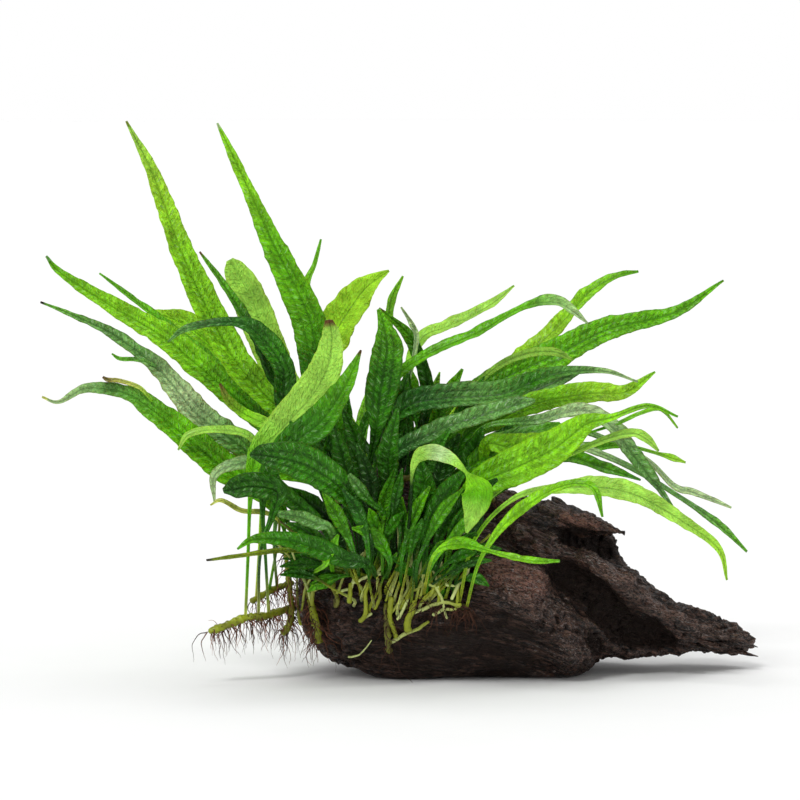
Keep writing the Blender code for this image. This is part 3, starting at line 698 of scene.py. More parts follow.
STEMS = {
    "left_low": free_stem(
        [(-77, 19, -36, 1.2), (-70, 21.6, -34, 1.5), (-61, 25, -31, 1.4), (-55, 25.2, -28, 1.5),
         (-49, 27, -21, 1.4), (-42.3, 29, -12.5, 1.3)]
    ),
    "left_high": free_stem(
        [(-60, 31, -20, 1.1), (-55, 34, -16, 1.2), (-50, 36.5, -12, 1.2), (-42.5, 39, -7, 1.1)]
    ),
    "club": free_stem(
        [(-47.6, 18, -18, 1.4), (-45, 21, -18.3, 1.5), (-43.6, 26, -18.3, 1.2), (-44, 34, -19.5, 1),
         (-45, 43, -21.5, 0.9), (-46, 51, -24, 0.8)]
    ),
    "hanging": clinging_stem(
        [(-31, 16, 1.4), (-31.5, 22, 1.5), (-33, 29, 1.3), (-35, 35, 1.1), (-36, 41, 0.9)], "front"
    ),
    "front": clinging_stem(
        [(-27, 40, 1.2), (-16, 41, 1.5), (-4, 40, 1.4), (8, 36, 1.5), (20, 33, 1.3), (27, 31, 1)], "front"
    ),
    "right": clinging_stem([(-5, 33, 1), (-5, 27, 1.1), (-4.5, 20, 1.2), (-4, 13, 1)], "front"),
    "top": clinging_stem(
        [(-28, -9, 1.3), (-20, -14, 1.5), (-6, -18, 1.4), (10, -17, 1.5), (26, -18, 1.3), (38, -19, 1)],
        "top",
        LONG_STEM_STEPS,
    ),
    "back": clinging_stem(
        [(-30, 2, 1.2), (-22, 12, 1.4), (-14, 22, 1.5), (-6, 27, 1.4), (3, 20, 1.4), (10, 10, 1.3),
         (15, 5, 1)],
        "top",
        LONG_STEM_STEPS,
    ),
}


class Strands:
    """Round strands that are gathered into one piece."""

    def __init__(self):
        self.points = []
        self.faces = []
        self.tints = []
        self.count = 0

    def add(self, path, radii, tints, sides, knobs=0.0):
        """Adds a closed strand along a path of places, with a radius and a colour for each."""
        path = np.asarray(path, float)
        side = Vector(path[1] - path[0]).orthogonal().normalized()
        turns = np.arange(sides)[:, None] * (2 * math.pi / sides)
        for centre, ahead, radius in zip(path, unit(np.gradient(path, axis=0)), radii):
            ahead = Vector(ahead)
            side = (side - ahead * side.dot(ahead)).normalized()
            other = ahead.cross(side)
            ring = np.cos(turns) * np.array(side) + np.sin(turns) * np.array(other)
            if knobs:
                ring = ring * (1 + knobs * noise_at(centre + ring * radius, (1.5, 1.5, 1.5), 4.4))[:, None]
            self.points.append(centre + ring * radius)
        rows = len(path)
        i = np.arange(sides // 2 - 1)
        cap = np.stack([i, i + 1, sides - 2 - i, sides - 1 - i], axis=-1)
        body = grid_faces(rows, sides, closed=True)
        self.faces.append(np.vstack([body, cap[:, ::-1], cap + (rows - 1) * sides]) + self.count)
        self.tints.append(np.repeat(np.broadcast_to(tints, (rows, 3)), sides, axis=0))
        self.count += rows * sides

    def make(self, name, look):
        piece = new_mesh(name, np.vstack(self.points), np.vstack(self.faces), look)
        set_values(piece, "tint", np.clip(np.vstack(self.tints), 0, 1))
        return piece


def rounded_ends(along, radius):
    """How much of its radius a strand has at each place, with both ends rounded off."""
    from_end = np.minimum(along, along[-1] - along)
    return np.sqrt(np.clip(1 - (1 - np.minimum(1, from_end / radius)) ** 2, 0.01, 1))


def wobble(at, dice, longest, count=4):
    """A smooth uneven line about zero, a sum of a few waves."""
    total = np.zeros_like(at)
    for octave in range(count):
        wave_length = longest / (1 + octave * dice.uniform(0.6, 1.1))
        total += np.sin(2 * math.pi * (at / wave_length + dice.random())) / (1 + octave)
    return total / 2


def make_stems():
    """The creeping stems, knobbly and ringed with the scars of old leaves."""
    for name, stem in STEMS.items():
        solid = "rhizome_" + name
        dice = random.Random(solid)
        line = smooth_curve([(*spot, radius) for spot, radius in stem.points])
        curve, along = along_curve(line, STRAND_STEP)
        radius = curve[:, 3] * (1 + 0.12 * wobble(along, dice, 9))
        scar = dice.uniform(1, 4)
        while scar < along[-1]:
            radius = radius * (1 + 0.22 * np.exp(-(((along - scar) / 0.7) ** 2)))
            scar += dice.uniform(2.5, 5.5)
        radius = radius * rounded_ends(along, 1.2)
        fresh = STEM_GREEN_SHARES.get(name, 0.85)
        share = np.clip(fresh + 0.3 * wobble(along, dice, 13), 0, 1)[:, None]
        # The front stem takes the shaded stem colour: painted shade under the leaves.
        tints = blended("shaded stem" if name == "front" else "dull stem", "stem", share)
        strands = Strands()
        strands.add(curve[:, :3], radius, tints, STEM_SIDES, 0.3)
        piece = strands.make(solid + "_fine", STEM_LOOK)
        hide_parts(solid)


# Small stalks on the wood, as seen: radius at the start and end, colours there, and points
STALKS = [
    (0.9, 0.5, "stem", "stalk", [(-34.4, 31.6), (-32, 36), (-26.8, 40.4)]),
    (1.1, 0.8, "stem", "stem", [(-19.6, 30.8), (-19.8, 34), (-19.2, 38.6)]),
    (0.7, 0.5, "stalk", "stalk", [(-18.8, 38.4), (-12, 39.6), (-5.6, 42.4), (-1.6, 48), (2.8, 52.4)]),
    (0.6, 0.5, "stalk", "stem", [(-10.4, 27.2), (-16.4, 23.6)]),
    (1.0, 0.7, "stem", "stem", [(-16.6, 23.8), (-13.4, 28), (-12.4, 37.6)]),
    (0.7, 0.3, "stem", "root", [(-2, 16.4), (12, 22.8)]),
    (0.7, 0.5, "stem", "stalk", [(-4.8, 25.6), (0, 31), (4.8, 38), (8, 47)]),
    (0.6, 0.5, "stalk", "stalk", [(-1, 24), (3.4, 31), (7.4, 40), (9.4, 50)]),
    (1.5, 1.1, "stem", "stem", [(2.4, 21.2), (3.4, 26), (5.2, 32.4)]),
    (1.1, 0.9, "stem", "stem", [(-3, 33), (-3.6, 25), (-1.6, 18)]),
    (0.9, 0.6, "stalk", "stem", [(-2.4, 17), (4, 19.4), (12, 23)]),
    (0.8, 0.6, "stalk", "stem", [(5.2, 26), (15.2, 29.6), (25.2, 31.6)]),
    (0.7, 0.5, "stalk", "stem", [(13.2, 26), (20, 28), (25.2, 31.6)]),
    (0.8, 0.5, "stem", "stalk", [(2.4, 33.6), (7, 36), (12, 36.4), (14.8, 35.2), (17.6, 30), (19.6, 25.6)]),
    (0.7, 0.5, "stalk", "stalk", [(14.8, 46.8), (16, 42), (17.6, 39.2), (20.8, 36.4), (24.4, 36.4)]),
    (0.6, 0.4, "stem", "stalk", [(8.4, 32), (9.2, 39), (8.8, 46)]),
    (0.5, 0.4, "dull stem", "stem", [(12, 31), (12.6, 37), (11.8, 44)]),
    (0.6, 0.4, "stem", "stem", [(15.6, 30), (15.2, 38), (16.4, 45)]),
    (0.7, 0.6, "stalk", "stalk", [(3, 40), (5.2, 53.2), (10, 64), (15, 74), (18.8, 82.4)]),
    (0.7, 0.5, "stem", "stalk", [(12, 33), (17, 46), (24, 58)]),
    (0.7, 0.6, "stalk", "stalk", [(20, 31), (26, 40), (32, 50)]),
    (0.5, 0.25, "stalk", "stalk", [(-20.8, 10), (-16.4, 10.4), (-11.6, 16)]),
    (0.6, 0.4, "stem", "stalk", [(-24, 34), (-20, 43), (-14, 49)]),
    (0.6, 0.4, "stalk", "stem", [(-9, 41), (-6, 50), (-7, 58)]),
    (1.0, 0.7, "stem", "dull stem", [(-29, 40), (-25, 37), (-23.6, 31), (-24.4, 27)]),
    (0.9, 0.6, "dull stem", "stem", [(-9, 38), (-8, 33), (-9.4, 29)]),
    (0.6, 0.4, "stem", "stalk", [(-38, 28), (-36.4, 36), (-31, 46), (-28, 54)]),
    (0.6, 0.4, "stem", "stalk", [(-40, 22), (-39.2, 33), (-41, 44), (-44, 54)]),
    (0.6, 0.5, "stalk", "stem", [(-22, 33), (-17, 41), (-13, 51), (-11, 62)]),
    (0.5, 0.4, "stem", "stalk", [(-6, 30), (-2, 40), (0, 52), (-1, 64)]),
    (0.6, 0.5, "stem", "stalk", [(6, 30), (10, 41), (15, 53), (22, 66)]),
    (0.5, 0.4, "stalk", "dull stem", [(16, 34), (13, 43), (8, 55), (6, 68)]),
    (0.6, 0.5, "stem", "stem", [(22, 28), (24, 38), (29, 49), (36, 58)]),
    (0.5, 0.4, "stem", "dull stem", [(-30, 36), (-34, 46), (-40, 56), (-48, 63)]),
    (0.6, 0.4, "stalk", "stem", [(-33, 30), (-38, 41), (-46, 51), (-55, 60)]),
]


def make_stalks(tree):
    """Small stalks and stubs that lie over the front of the wood."""
    strands = Strands()
    for start_radius, end_radius, start_colour, end_colour, points in STALKS:
        seen = smooth_curve(points, 12)
        share = np.linspace(0, 1, len(seen))
        radii = start_radius + (end_radius - start_radius) * share
        outs = radii + STALK_OUT
        clearances = radii + STALK_CLEARANCE
        laid = np.array([seen_on_wood(tree, x, h, out) for (x, h), out in zip(seen, outs)])
        for _ in range(3):
            laid = np.array([lifted(tree, spot, clear) for spot, clear in zip(laid, clearances)])
            for _ in range(5):
                laid[1:-1] = (laid[:-2] + laid[1:-1] + laid[2:]) / 3
        laid = laid - STALK_LIFT * np.maximum(0, seen[:, 1:] - STALK_LIFT_FROM) * LOOK
        curve, along = along_curve(np.hstack([laid, radii[:, None]]), STRAND_STEP)
        tints = blended(start_colour, end_colour, curve[:, 4:])
        strands.add(curve[:, :3], curve[:, 3] * rounded_ends(along, 0.6), tints, STALK_SIDES, 0.25)
    strands.make("small_stalks", STALK_LOOK)


def grow_root(start, heading, length, sink, dice, tree):
    """A root's path: it sinks as it grows, keeps to the wood that it meets and stays off the floor."""
    places = [start]
    for _ in range(round(length / ROOT_STEP)):
        bend = Vector(dice.gauss(0, ROOT_BEND) for _ in range(3))
        heading = (heading + bend + Vector((0, 0, -sink))).normalized()
        spot = places[-1] + heading * ROOT_STEP
        near, normal, _, _ = tree.find_nearest(spot)
        height = (spot - near).dot(normal)
        if height < ROOT_CLEARANCE:
            spot = near + normal * ROOT_CLEARANCE
        elif height < ROOT_CLING_WITHIN:
            spot -= normal * min(ROOT_CLING_STEP, height - ROOT_CLEARANCE)
        spot.z = max(spot.z, FLOOR_CLEARANCE)
        heading = (spot - places[-1]).normalized()
        places.append(spot)
    return places


# Roots on each stem: how many, how long they grow, how fast they sink and how pink they are
ROOTS = {
    "left_low": (110, 12, 0.3, 1.0),
    "left_high": (40, 10, 0.25, 1.0),
    "club": (80, 13, 0.35, 1.0),
    "hanging": (130, 15, 0.2, 0.9),
    "front": (170, 14, 0.14, 0.15),
    "right": (30, 14, 0.15, 0.1),
    "top": (70, 16, 0.1, 0.3),
    "back": (80, 18, 0.12, 0.3),
}


def make_roots(tree):
    """Fine roots that hang from the stems or cling to the wood."""
    strands = Strands()
    dice = random.Random(5)
    for name, (count, length, sink, pinkness) in ROOTS.items():
        points = STEMS[name].points
        for _ in range(count):
            step = dice.randrange(len(points) - 1)
            (start, radius), (end, _) = points[step], points[step + 1]
            root = start.lerp(end, dice.random())
            heading = Vector((dice.gauss(0, 1), dice.gauss(0, 1), -abs(dice.gauss(0.5, 0.8)))).normalized()
            reach = length * dice.uniform(0.4, 1.3)
            path = grow_root(root + heading * radius * 0.7, heading, reach, sink, dice, tree)
            thick = dice.uniform(0.13, 0.34)
            radii = np.linspace(thick, 0.05, len(path))
            tint = blended("root", "pink root", dice.random() ** 2 * pinkness)
            strands.add([tuple(spot) for spot in path], radii, tint * dice.uniform(0.6, 1.2), ROOT_SIDES)
    strands.make("fine_roots", ROOT_LOOK)


def make_splinters(tree):
    """Torn slivers along the wood's tail."""
    strands = Strands()
    dice = random.Random(11)
    for _ in range(SPLINTERS):
        x = dice.uniform(*SPLINTER_SPAN)
        height = SPLINTER_HEIGHT - (x - SPLINTER_SPAN[0]) * 0.3 + dice.uniform(-7, 2)
        start = Vector(seen_on_wood(tree, x, height, -0.7))
        heading = Vector((1, dice.uniform(-0.12, 0.1), dice.uniform(-0.42, -0.12))).normalized()
        length = dice.uniform(4, 10)
        steps = np.linspace(0, 1, 14)
        path = np.array([start + heading * length * step for step in steps])
        path[:, 2] = np.maximum(path[:, 2], FLOOR_CLEARANCE)
        strands.add(path, (1 - steps**2) * dice.uniform(0.6, 1.5) + 0.1, COLOURS["root"], 10, 0.5)
    piece = strands.make("driftwood_splinters", WOOD_LOOK)
    points = np.vstack(strands.points)
    set_values(piece, "crest_and_hollow_shade", np.full(len(points), 0.6))
    set_values(piece, "grain", along_grain(points))


# Leaves: name, kind, stem and x of its root, lean, points (x, height, width), roll, colours, other settings.
# A lean is how far a leaf leans back, a roll how far its face turns from the viewer, both in degrees.
LEAVES = [
    ("tall_left", "green", "top", -25, 9,
     [(-36, 96, 4), (-46, 106, 8), (-64, 125.6, 11.5), (-76.5, 148, 11.5), (-87.2, 171.6, 9),
      (-94.6, 191.6, 7), (-99.8, 204.6, 4.8), (-109, 222, 0.8)],
     -20, "deep mid fresh fresh fresh lime pale", {"tip": "olive", "blisters": 1.3}),
    ("tall_centre", "green", "top", -18.5, 5,
     [(-30, 100, 4), (-33, 118, 12), (-34, 132, 14), (-38.5, 148, 13), (-50, 171.6, 9.2),
      (-59, 191.6, 5.4), (-67, 209, 3.6), (-72.8, 221.2, 0.8)],
     18, "dark deep deep mid mid fresh fresh", {"tip": "ash", "blisters": 1.4}),
    ("left_hooked", "green", "back", -29, 16,
     [(-38, 88, 2), (-52, 101, 9), (-80, 125.6, 11), (-94.8, 137.6, 10), (-116, 150, 7),
      (-135.6, 162.4, 3), (-141.2, 168.8, 0.8)],
     -25, "dark deep mid fresh fresh mid", {"tip": "grey"}),
    ("left_thin", "green", "back", -25.5, 20,
     [(-36, 95, 1.5), (-58, 113, 4), (-80, 131.6, 4), (-100, 147.2, 3), (-120, 162, 0.8)],
     -50, "deep mid mid mid", {}),
    ("left_broad_behind", "green", "back", -21.5, 25,
     [(-32, 98, 2), (-50, 112, 10), (-68, 127, 13), (-84.8, 141, 12), (-100.8, 147, 1.5)],
     -15, "deep mid fresh fresh lime", {"rib": 1.7}),
    ("left_wavy", "bluish", "hanging", None, -5.5,
     [(-44, 60, 1.6), (-52, 80, 6), (-64, 93.6, 10), (-80.4, 106, 10.4), (-90.8, 118.4, 9),
      (-98.8, 126.4, 6.5), (-114, 137.6, 4.5), (-130.4, 145.2, 2.2), (-143.6, 150.4, 0.8)],
     -25, "dark deep mid grey ash grey grey mid", {"tip": "black", "wave": 1.6, "blisters": 1.2}),
    ("left_arching", "green", "club", None, -9.5,
     [(-47, 62, 2), (-54, 74, 8), (-70, 84.5, 12), (-88.4, 100, 10.5), (-98.8, 108, 8.8),
      (-109.2, 114.4, 6), (-125.2, 116.4, 4), (-136.4, 110.8, 1.6), (-143.2, 112.8, 0.8)],
     -25, "deep mid mid mid grey ash", {"tip": "straw", "blisters": 1.2}),
    ("dark_arch", "deep", "top", -27, -3,
     [(-40, 98, 4), (-46, 110, 8), (-46.5, 124.8, 8.5), (-56, 138, 8), (-66, 142.8, 4), (-84.4, 140.4, 3),
      (-92.8, 134.8, 0.8)],
     -30, "deep deep dark deep blue grey", {"tip": "grey"}),
    ("left_narrow_dark", "deep", "top", -22, 1,
     [(-34, 100, 2.5), (-50, 119.6, 5), (-56, 133.6, 4.2), (-67.2, 153.2, 3.4), (-80, 170.4, 0.8)],
     -50, "dark dark deep mid", {"tip": "brown"}),
    ("pale_blunt", "pale", "back", -17, 31,
     [(-28, 98, 3), (-43, 113, 11), (-52.8, 133.6, 14), (-60, 151.6, 14), (-65.6, 162.8, 10),
      (-68, 167.5, 3)],
     15, "fresh pale pale pale", {"rib": 0.85, "blisters": 0.4, "wave": 0.3}),
    ("small_upright", "green", "back", -12.5, 36,
     [(-24, 100, 1.5), (-38, 128, 3), (-38, 154.8, 3.2), (-34, 166, 2), (-31.6, 175.6, 0.8)],
     50, "mid fresh fresh mid", {}),
    ("yellow_green", "pale", "back", -7, 41,
     [(-16, 96, 3), (-31, 122, 10), (-27, 138, 15), (-20, 149.6, 14), (-13.2, 157.6, 9), (-4.4, 163.2, 0.8)],
     20, "fresh lime lime lime", {"rib": 0.5, "wave": 1.4}),
    ("front_smooth", "pale", "left_low", -61, -21.5,
     [(-61, 48, 1.3), (-60, 72, 2), (-58, 88, 7), (-51, 97, 12), (-42, 106.5, 14), (-34, 116, 14.5),
      (-29, 126, 12), (-27.5, 135.6, 8.5), (-28.4, 143.2, 3)],
     12, "straw mid mid mid pale pale pale", {"tip": "brown", "blisters": 0.35, "wave": 0.3}),
    ("front_dull", "green", "left_low", -52, -28.5,
     [(-54, 50, 1.3), (-55, 70, 2.5), (-52, 84, 8), (-42, 95.5, 12), (-32, 103.6, 12), (-22, 117.6, 7),
      (-15.6, 131.2, 0.8)],
     15, "straw deep deep deep mid", {"tip": "brown"}),
    ("left_small_arch", "pale", "left_high", -57, -12.5,
     [(-56, 60, 1.2), (-55, 85, 2), (-60, 97, 3), (-73.2, 100, 3.2), (-84.4, 98, 2.6), (-88.8, 91.6, 0.8)],
     -45, "straw lime pale pale", {}),
    ("left_folded", "bluish", "left_high", -49, -15.5,
     [(-50.5, 55, 1.2), (-49, 75, 3), (-54, 86.5, 5), (-66, 86, 5), (-74.4, 81.6, 3.4), (-74.4, 71.2, 0.8)],
     -30, "olive grey grey ash", {}),
    ("left_broad_low", "deep", "left_low", -56, -33,
     [(-56, 50, 1.3), (-51, 66, 3), (-49, 75, 8), (-58, 77.6, 10.5), (-66, 76.4, 8), (-70.8, 75.2, 2)],
     -20, "straw dark deep dark", {"rib": 0.35}),
    ("broad_dark_front", "deep", "front", -12.5, -36.5,
     [(-11, 52, 1.6), (-14.5, 63, 3), (-20, 72.5, 8), (-28, 80.5, 12.5), (-40, 87, 14), (-53.6, 89.6, 9),
      (-60, 89.6, 1.5)],
     -15, "deep dark deep deep dark", {"rib": 0.5}),
    ("low_bright", "green", "front", -9, -39,
     [(-13, 46, 3.5), (-22, 48, 7), (-32.8, 52.4, 8), (-43.2, 55.6, 6.5), (-51.2, 56.4, 5),
      (-59.6, 55.6, 3), (-65.2, 52, 0.8)],
     -20, "dark dark dark deep deep mid", {}),
    ("low_olive", "green", "front", -26, -36,
     [(-30, 50, 2.4), (-46.4, 51.6, 2), (-62.4, 49.6, 1.8), (-77.6, 47.6, 0.8)],
     -45, "mid mid olive olive", {"tip": "black"}),
    ("middle_upright", "deep", "top", -14, -12,
     [(-10, 97, 4), (-8, 111.6, 12), (-6, 123.6, 13), (-4.8, 133, 11.5), (-6.6, 142, 5), (-8.6, 147.6, 1.5)],
     -14, "dark deep deep mid", {}),
    ("middle_curled", "deep", "top", 2, 0,
     [(8, 98, 3), (11, 112, 5), (9, 125, 5.2), (4, 136, 4.5), (-0.8, 141.6, 3), (-8.4, 148, 0.8)],
     40, "dark dark deep mid", {"tip": "brown"}),
    ("middle_slim", "green", "top", -10, 7,
     [(-9, 102, 2), (-7, 122, 3), (-4.8, 140, 3.4), (-3, 152, 2.8), (1.2, 160.8, 0.8)],
     -50, "deep mid mid fresh", {}),
    # The inner leaves are painted in the darkest greens, as painted shade where they lie deep in the clump.
    ("inner_far_left", "deep", "front", -18, -29,
     [(-26, 60, 4), (-36, 70, 8), (-47, 77, 1.5)],
     12, "dark night deep", {}),
    ("inner_left", "deep", "front", -14, -26.5,
     [(-17, 66, 4), (-22, 84, 8.5), (-27, 103, 1.5)],
     12, "night dark deep", {}),
    ("inner_left_middle", "deep", "front", -7.2, -31,
     [(-12, 62, 4), (-12, 78, 7), (-17, 94, 1.5)],
     12, "dark night dark", {}),
    ("inner_middle", "deep", "front", -3, -28,
     [(-3, 66, 4), (-5, 88, 8.5), (-1, 108, 1.5)],
     12, "night dark deep", {}),
    ("inner_right_middle", "deep", "front", 3, -26.5,
     [(5, 66, 4), (10, 85, 7.5), (20, 100, 1.5)],
     12, "night dark deep", {}),
    ("inner_right", "deep", "front", 9, -32,
     [(11, 61, 4), (18, 74, 7.5), (28, 85, 1.5)],
     12, "dark deep deep", {}),
    ("inner_far_right", "deep", "front", 12, -28,
     [(16, 58, 4), (26, 71, 7.5), (39, 80, 1.5)],
     12, "dark deep dark", {}),
    ("right_light_thin", "pale", "back", 1, 35,
     [(1, 110, 2.5), (7.2, 135, 5), (18.4, 141.6, 4.6), (28.4, 146, 4.4), (38.8, 152, 3),
      (45.6, 157.2, 0.8)],
     50, "mid fresh pale pale", {}),
    ("right_long_arch", "green", "top", -6, -4,
     [(-9, 100, 2.5), (-3, 119, 4), (10, 129.6, 4), (30.4, 138.8, 4), (48, 148, 2.4), (57.2, 151.2, 4.8),
      (65.2, 150, 4.4), (75.2, 142, 0.8)],
     50, "dark deep mid mid mid ash", {}),
    ("right_wavy", "green", "back", 6.5, 27,
     [(18, 100, 3), (32, 113, 6), (51.2, 130.8, 7.4), (65.2, 144, 6), (75.6, 155.2, 5), (86, 161, 3),
      (95.2, 162.8, 0.8)],
     35, "mid fresh fresh lime fresh mid", {"wave": 1.6}),
    ("right_large", "deep", "back", 12, 20,
     [(16, 102, 5), (38, 119, 12), (63.2, 130.8, 12), (83.6, 140.4, 9.6), (110, 146.8, 5),
      (129.2, 159.2, 0.8)],
     20, "dark deep mid mid mid mid", {"blisters": 1.4}),
    ("right_pale_arch", "pale", "top", 5.5, 3,
     [(20, 105, 1.5), (35.6, 122.4, 2.4), (49, 129.6, 3.4), (61.2, 130.8, 3.4), (69.2, 127.6, 0.8)],
     5, "fresh lime pale pale", {}),
    ("right_dark_folded", "deep", "top", -2, -8,
     [(-4, 101, 5), (4, 110.5, 9.5), (20.4, 113.6, 10), (40.8, 115.2, 9), (61.2, 122.4, 5),
      (81.2, 123.2, 2.2), (95.2, 118.8, 0.8)],
     25, "dark deep blue grey deep grey ash", {"fold": 0.32, "blisters": 1.3}),
    ("right_blue_green", "bluish", "top", 12, 8,
     [(20, 101, 4), (40, 109.6, 7), (55.2, 116.4, 7), (66, 121, 5), (74, 124, 0.8)],
     28, "dark blue grey grey", {}),
    ("right_bright", "green", "top", 19, -2,
     [(26, 97, 4), (38, 103.6, 8), (55, 111, 8.5), (76.8, 114.8, 8.5), (90, 115, 5.5), (102, 122.8, 0.8)],
     22, "dark deep fresh fresh lime fresh", {"blisters": 1.2}),
    ("right_grey_green", "bluish", "front", -5.5, -21,
     [(-7, 64, 2), (-4, 88, 6), (15.2, 100, 7.2), (30.4, 105.2, 7.2), (46, 110, 6), (54, 111.2, 1.5)],
     28, "dark deep blue grey grey", {"blisters": 1.3}),
    ("right_wide_bright", "green", "front", 16, -24,
     [(22, 62, 4), (32, 78, 11), (47, 85.5, 15), (62, 93, 14), (74, 102, 8), (84.4, 104.5, 3),
      (99.2, 109.2, 2), (111.2, 104.8, 0.8)],
     12, "mid mid mid fresh fresh fresh mid", {"rib": 0.5, "blisters": 0.8}),
    ("right_twisted", "bluish", "top", 26, -12,
     [(31, 99, 1.5), (56, 104, 4), (72.8, 108, 5.4), (84.8, 101.6, 6), (95.2, 88, 6.4), (109.2, 69.2, 0.8)],
     30, "deep mid grey ash grey grey", {"wave": 1.4}),
    ("right_paddle", "green", "top", 32, 6,
     [(36, 93, 3), (56, 92, 4.8), (75.2, 93, 4.2), (89.6, 93.6, 2), (103, 90.4, 1.4), (109.6, 88.6, 2.8),
      (114.4, 86.8, 0.8)],
     40, "dark deep mid mid mid lime", {}),
    ("right_drooping_dark", "deep", "front", 20, -19,
     [(30, 66, 2.4), (48, 81, 4.4), (66, 89, 4.8), (80, 85.6, 4.8), (96.4, 79.6, 0.8)],
     40, "deep mid deep mid deep", {}),
    ("right_thin_upper", "bluish", "top", 15.5, 10,
     [(34, 99, 2), (66, 101, 2.4), (96, 89.6, 2), (110, 77.2, 2.4), (118, 75, 3), (132.8, 68.8, 0.8)],
     45, "deep mid grey ash ash", {}),
    ("right_thin_lower", "bluish", "top", 22.5, 1,
     [(38, 98, 2), (64, 95.6, 3), (90, 86, 2.4), (112.4, 72.8, 1.8), (128.4, 61.6, 3.2), (139.2, 51.2, 0.8)],
     45, "deep grey ash grey grey mid", {}),
    ("right_long_droop", "green", "front", 23, -30,
     [(30, 56, 1.5), (46, 72.5, 2), (64, 76.4, 4.4), (80, 77.2, 8), (94.8, 74, 7.4), (112.4, 64, 5),
      (127.6, 52.4, 2.8), (131.2, 39.6, 0.8)],
     25, "stem fresh pale pale pale lime", {"blisters": 0.8, "look": "pale"}),
    ("right_stalked_arch", "green", "front", 26, -35,
     [(31, 45, 1.3), (37, 56, 2.4), (44, 64.5, 4.2), (53, 71.5, 4.4), (62, 76.5, 3.4), (71, 78.5, 2.8),
      (78, 76, 3), (81.2, 64.8, 0.8)],
     40, "stem fresh fresh fresh mid", {}),
    # The bent front leaf's stalk is painted in the darkest green, as painted shade.
    ("front_bent", "pale", "front", 0, -38,
     [(4, 66, 1.2), (4.6, 80, 1.2), (5.8, 86.4, 3), (8.8, 90, 5.6), (14, 90.6, 6.4), (20.4, 88, 4.6),
      (24.4, 84.8, 2.4), (26.6, 82.4, 1.4), (28.4, 80, 4.5), (31, 75, 12.5), (29.6, 67.5, 8.5),
      (26.6, 58.4, 1)],
     10, "night night night night night night night pale pale ash pale fresh mid pale pale",
     {"rib": 1.3, "blisters": 0.7}),
    ("front_narrow", "green", "front", 9, -41,
     [(12, 46, 1.1), (15, 51.2, 1.6), (21, 54.2, 4.6), (28, 53.8, 3.8), (37.6, 50.8, 1.8), (52, 47.6, 2.8),
      (64, 47.2, 0.8)],
     40, "stem stem fresh mid fresh mid", {"wave": 1.4}),
    ("right_bright_behind", "green", "top", 35, -18,
     [(34, 93, 5), (44, 93.5, 9), (52, 95.5, 6), (58, 98, 0.8)],
     20, "deep fresh fresh lime", {}),
    ("right_ridged", "green", "top", 29, -7,
     [(33, 94, 3), (43.2, 96.5, 6), (54, 99.5, 6), (64, 102.5, 0.8)],
     30, "deep mid grey mid", {}),
]


def fan_depth(x, height, lean):
    """The depth of a leaf that leans back by so many degrees, at a place as seen."""
    away = math.hypot(x - CROWN_X, height - CROWN_HEIGHT)
    reach = FAN_REACH + FAN_CURVE * (1 - math.exp(-away / FAN_CURVE))
    return CROWN_DEPTH + math.tan(math.radians(lean)) * reach


def both_faces(values):
    """Values across the near face of a leaf, and back again across its far face."""
    return np.concatenate([values, values[:, ::-1]], axis=1)


def leaf_tints(along, colours, tip, dice):
    """A leaf's colour at each place along it, with a browned or bleached tip if it has one."""
    bands = np.array([COLOURS[band] for band in colours.split()])
    stations = np.linspace(0, 1, len(bands))
    tint = np.array([np.interp(along / along[-1], stations, channel) for channel in bands.T]).T
    tint = tint * (1 + TINT_UNEVENNESS * wobble(along, dice, TINT_WAVE, 5))[:, None]
    if tip:
        from_tip = along[-1] - along + 0.5 * wobble(along, dice, TIP_WAVE)
        browned = 1 - smooth_step(from_tip, 1.2, TIP_LENGTH)[:, None]
        tint = tint * (1 - browned) + np.array(COLOURS[tip]) * browned
    return np.clip(tint, 0, 1)


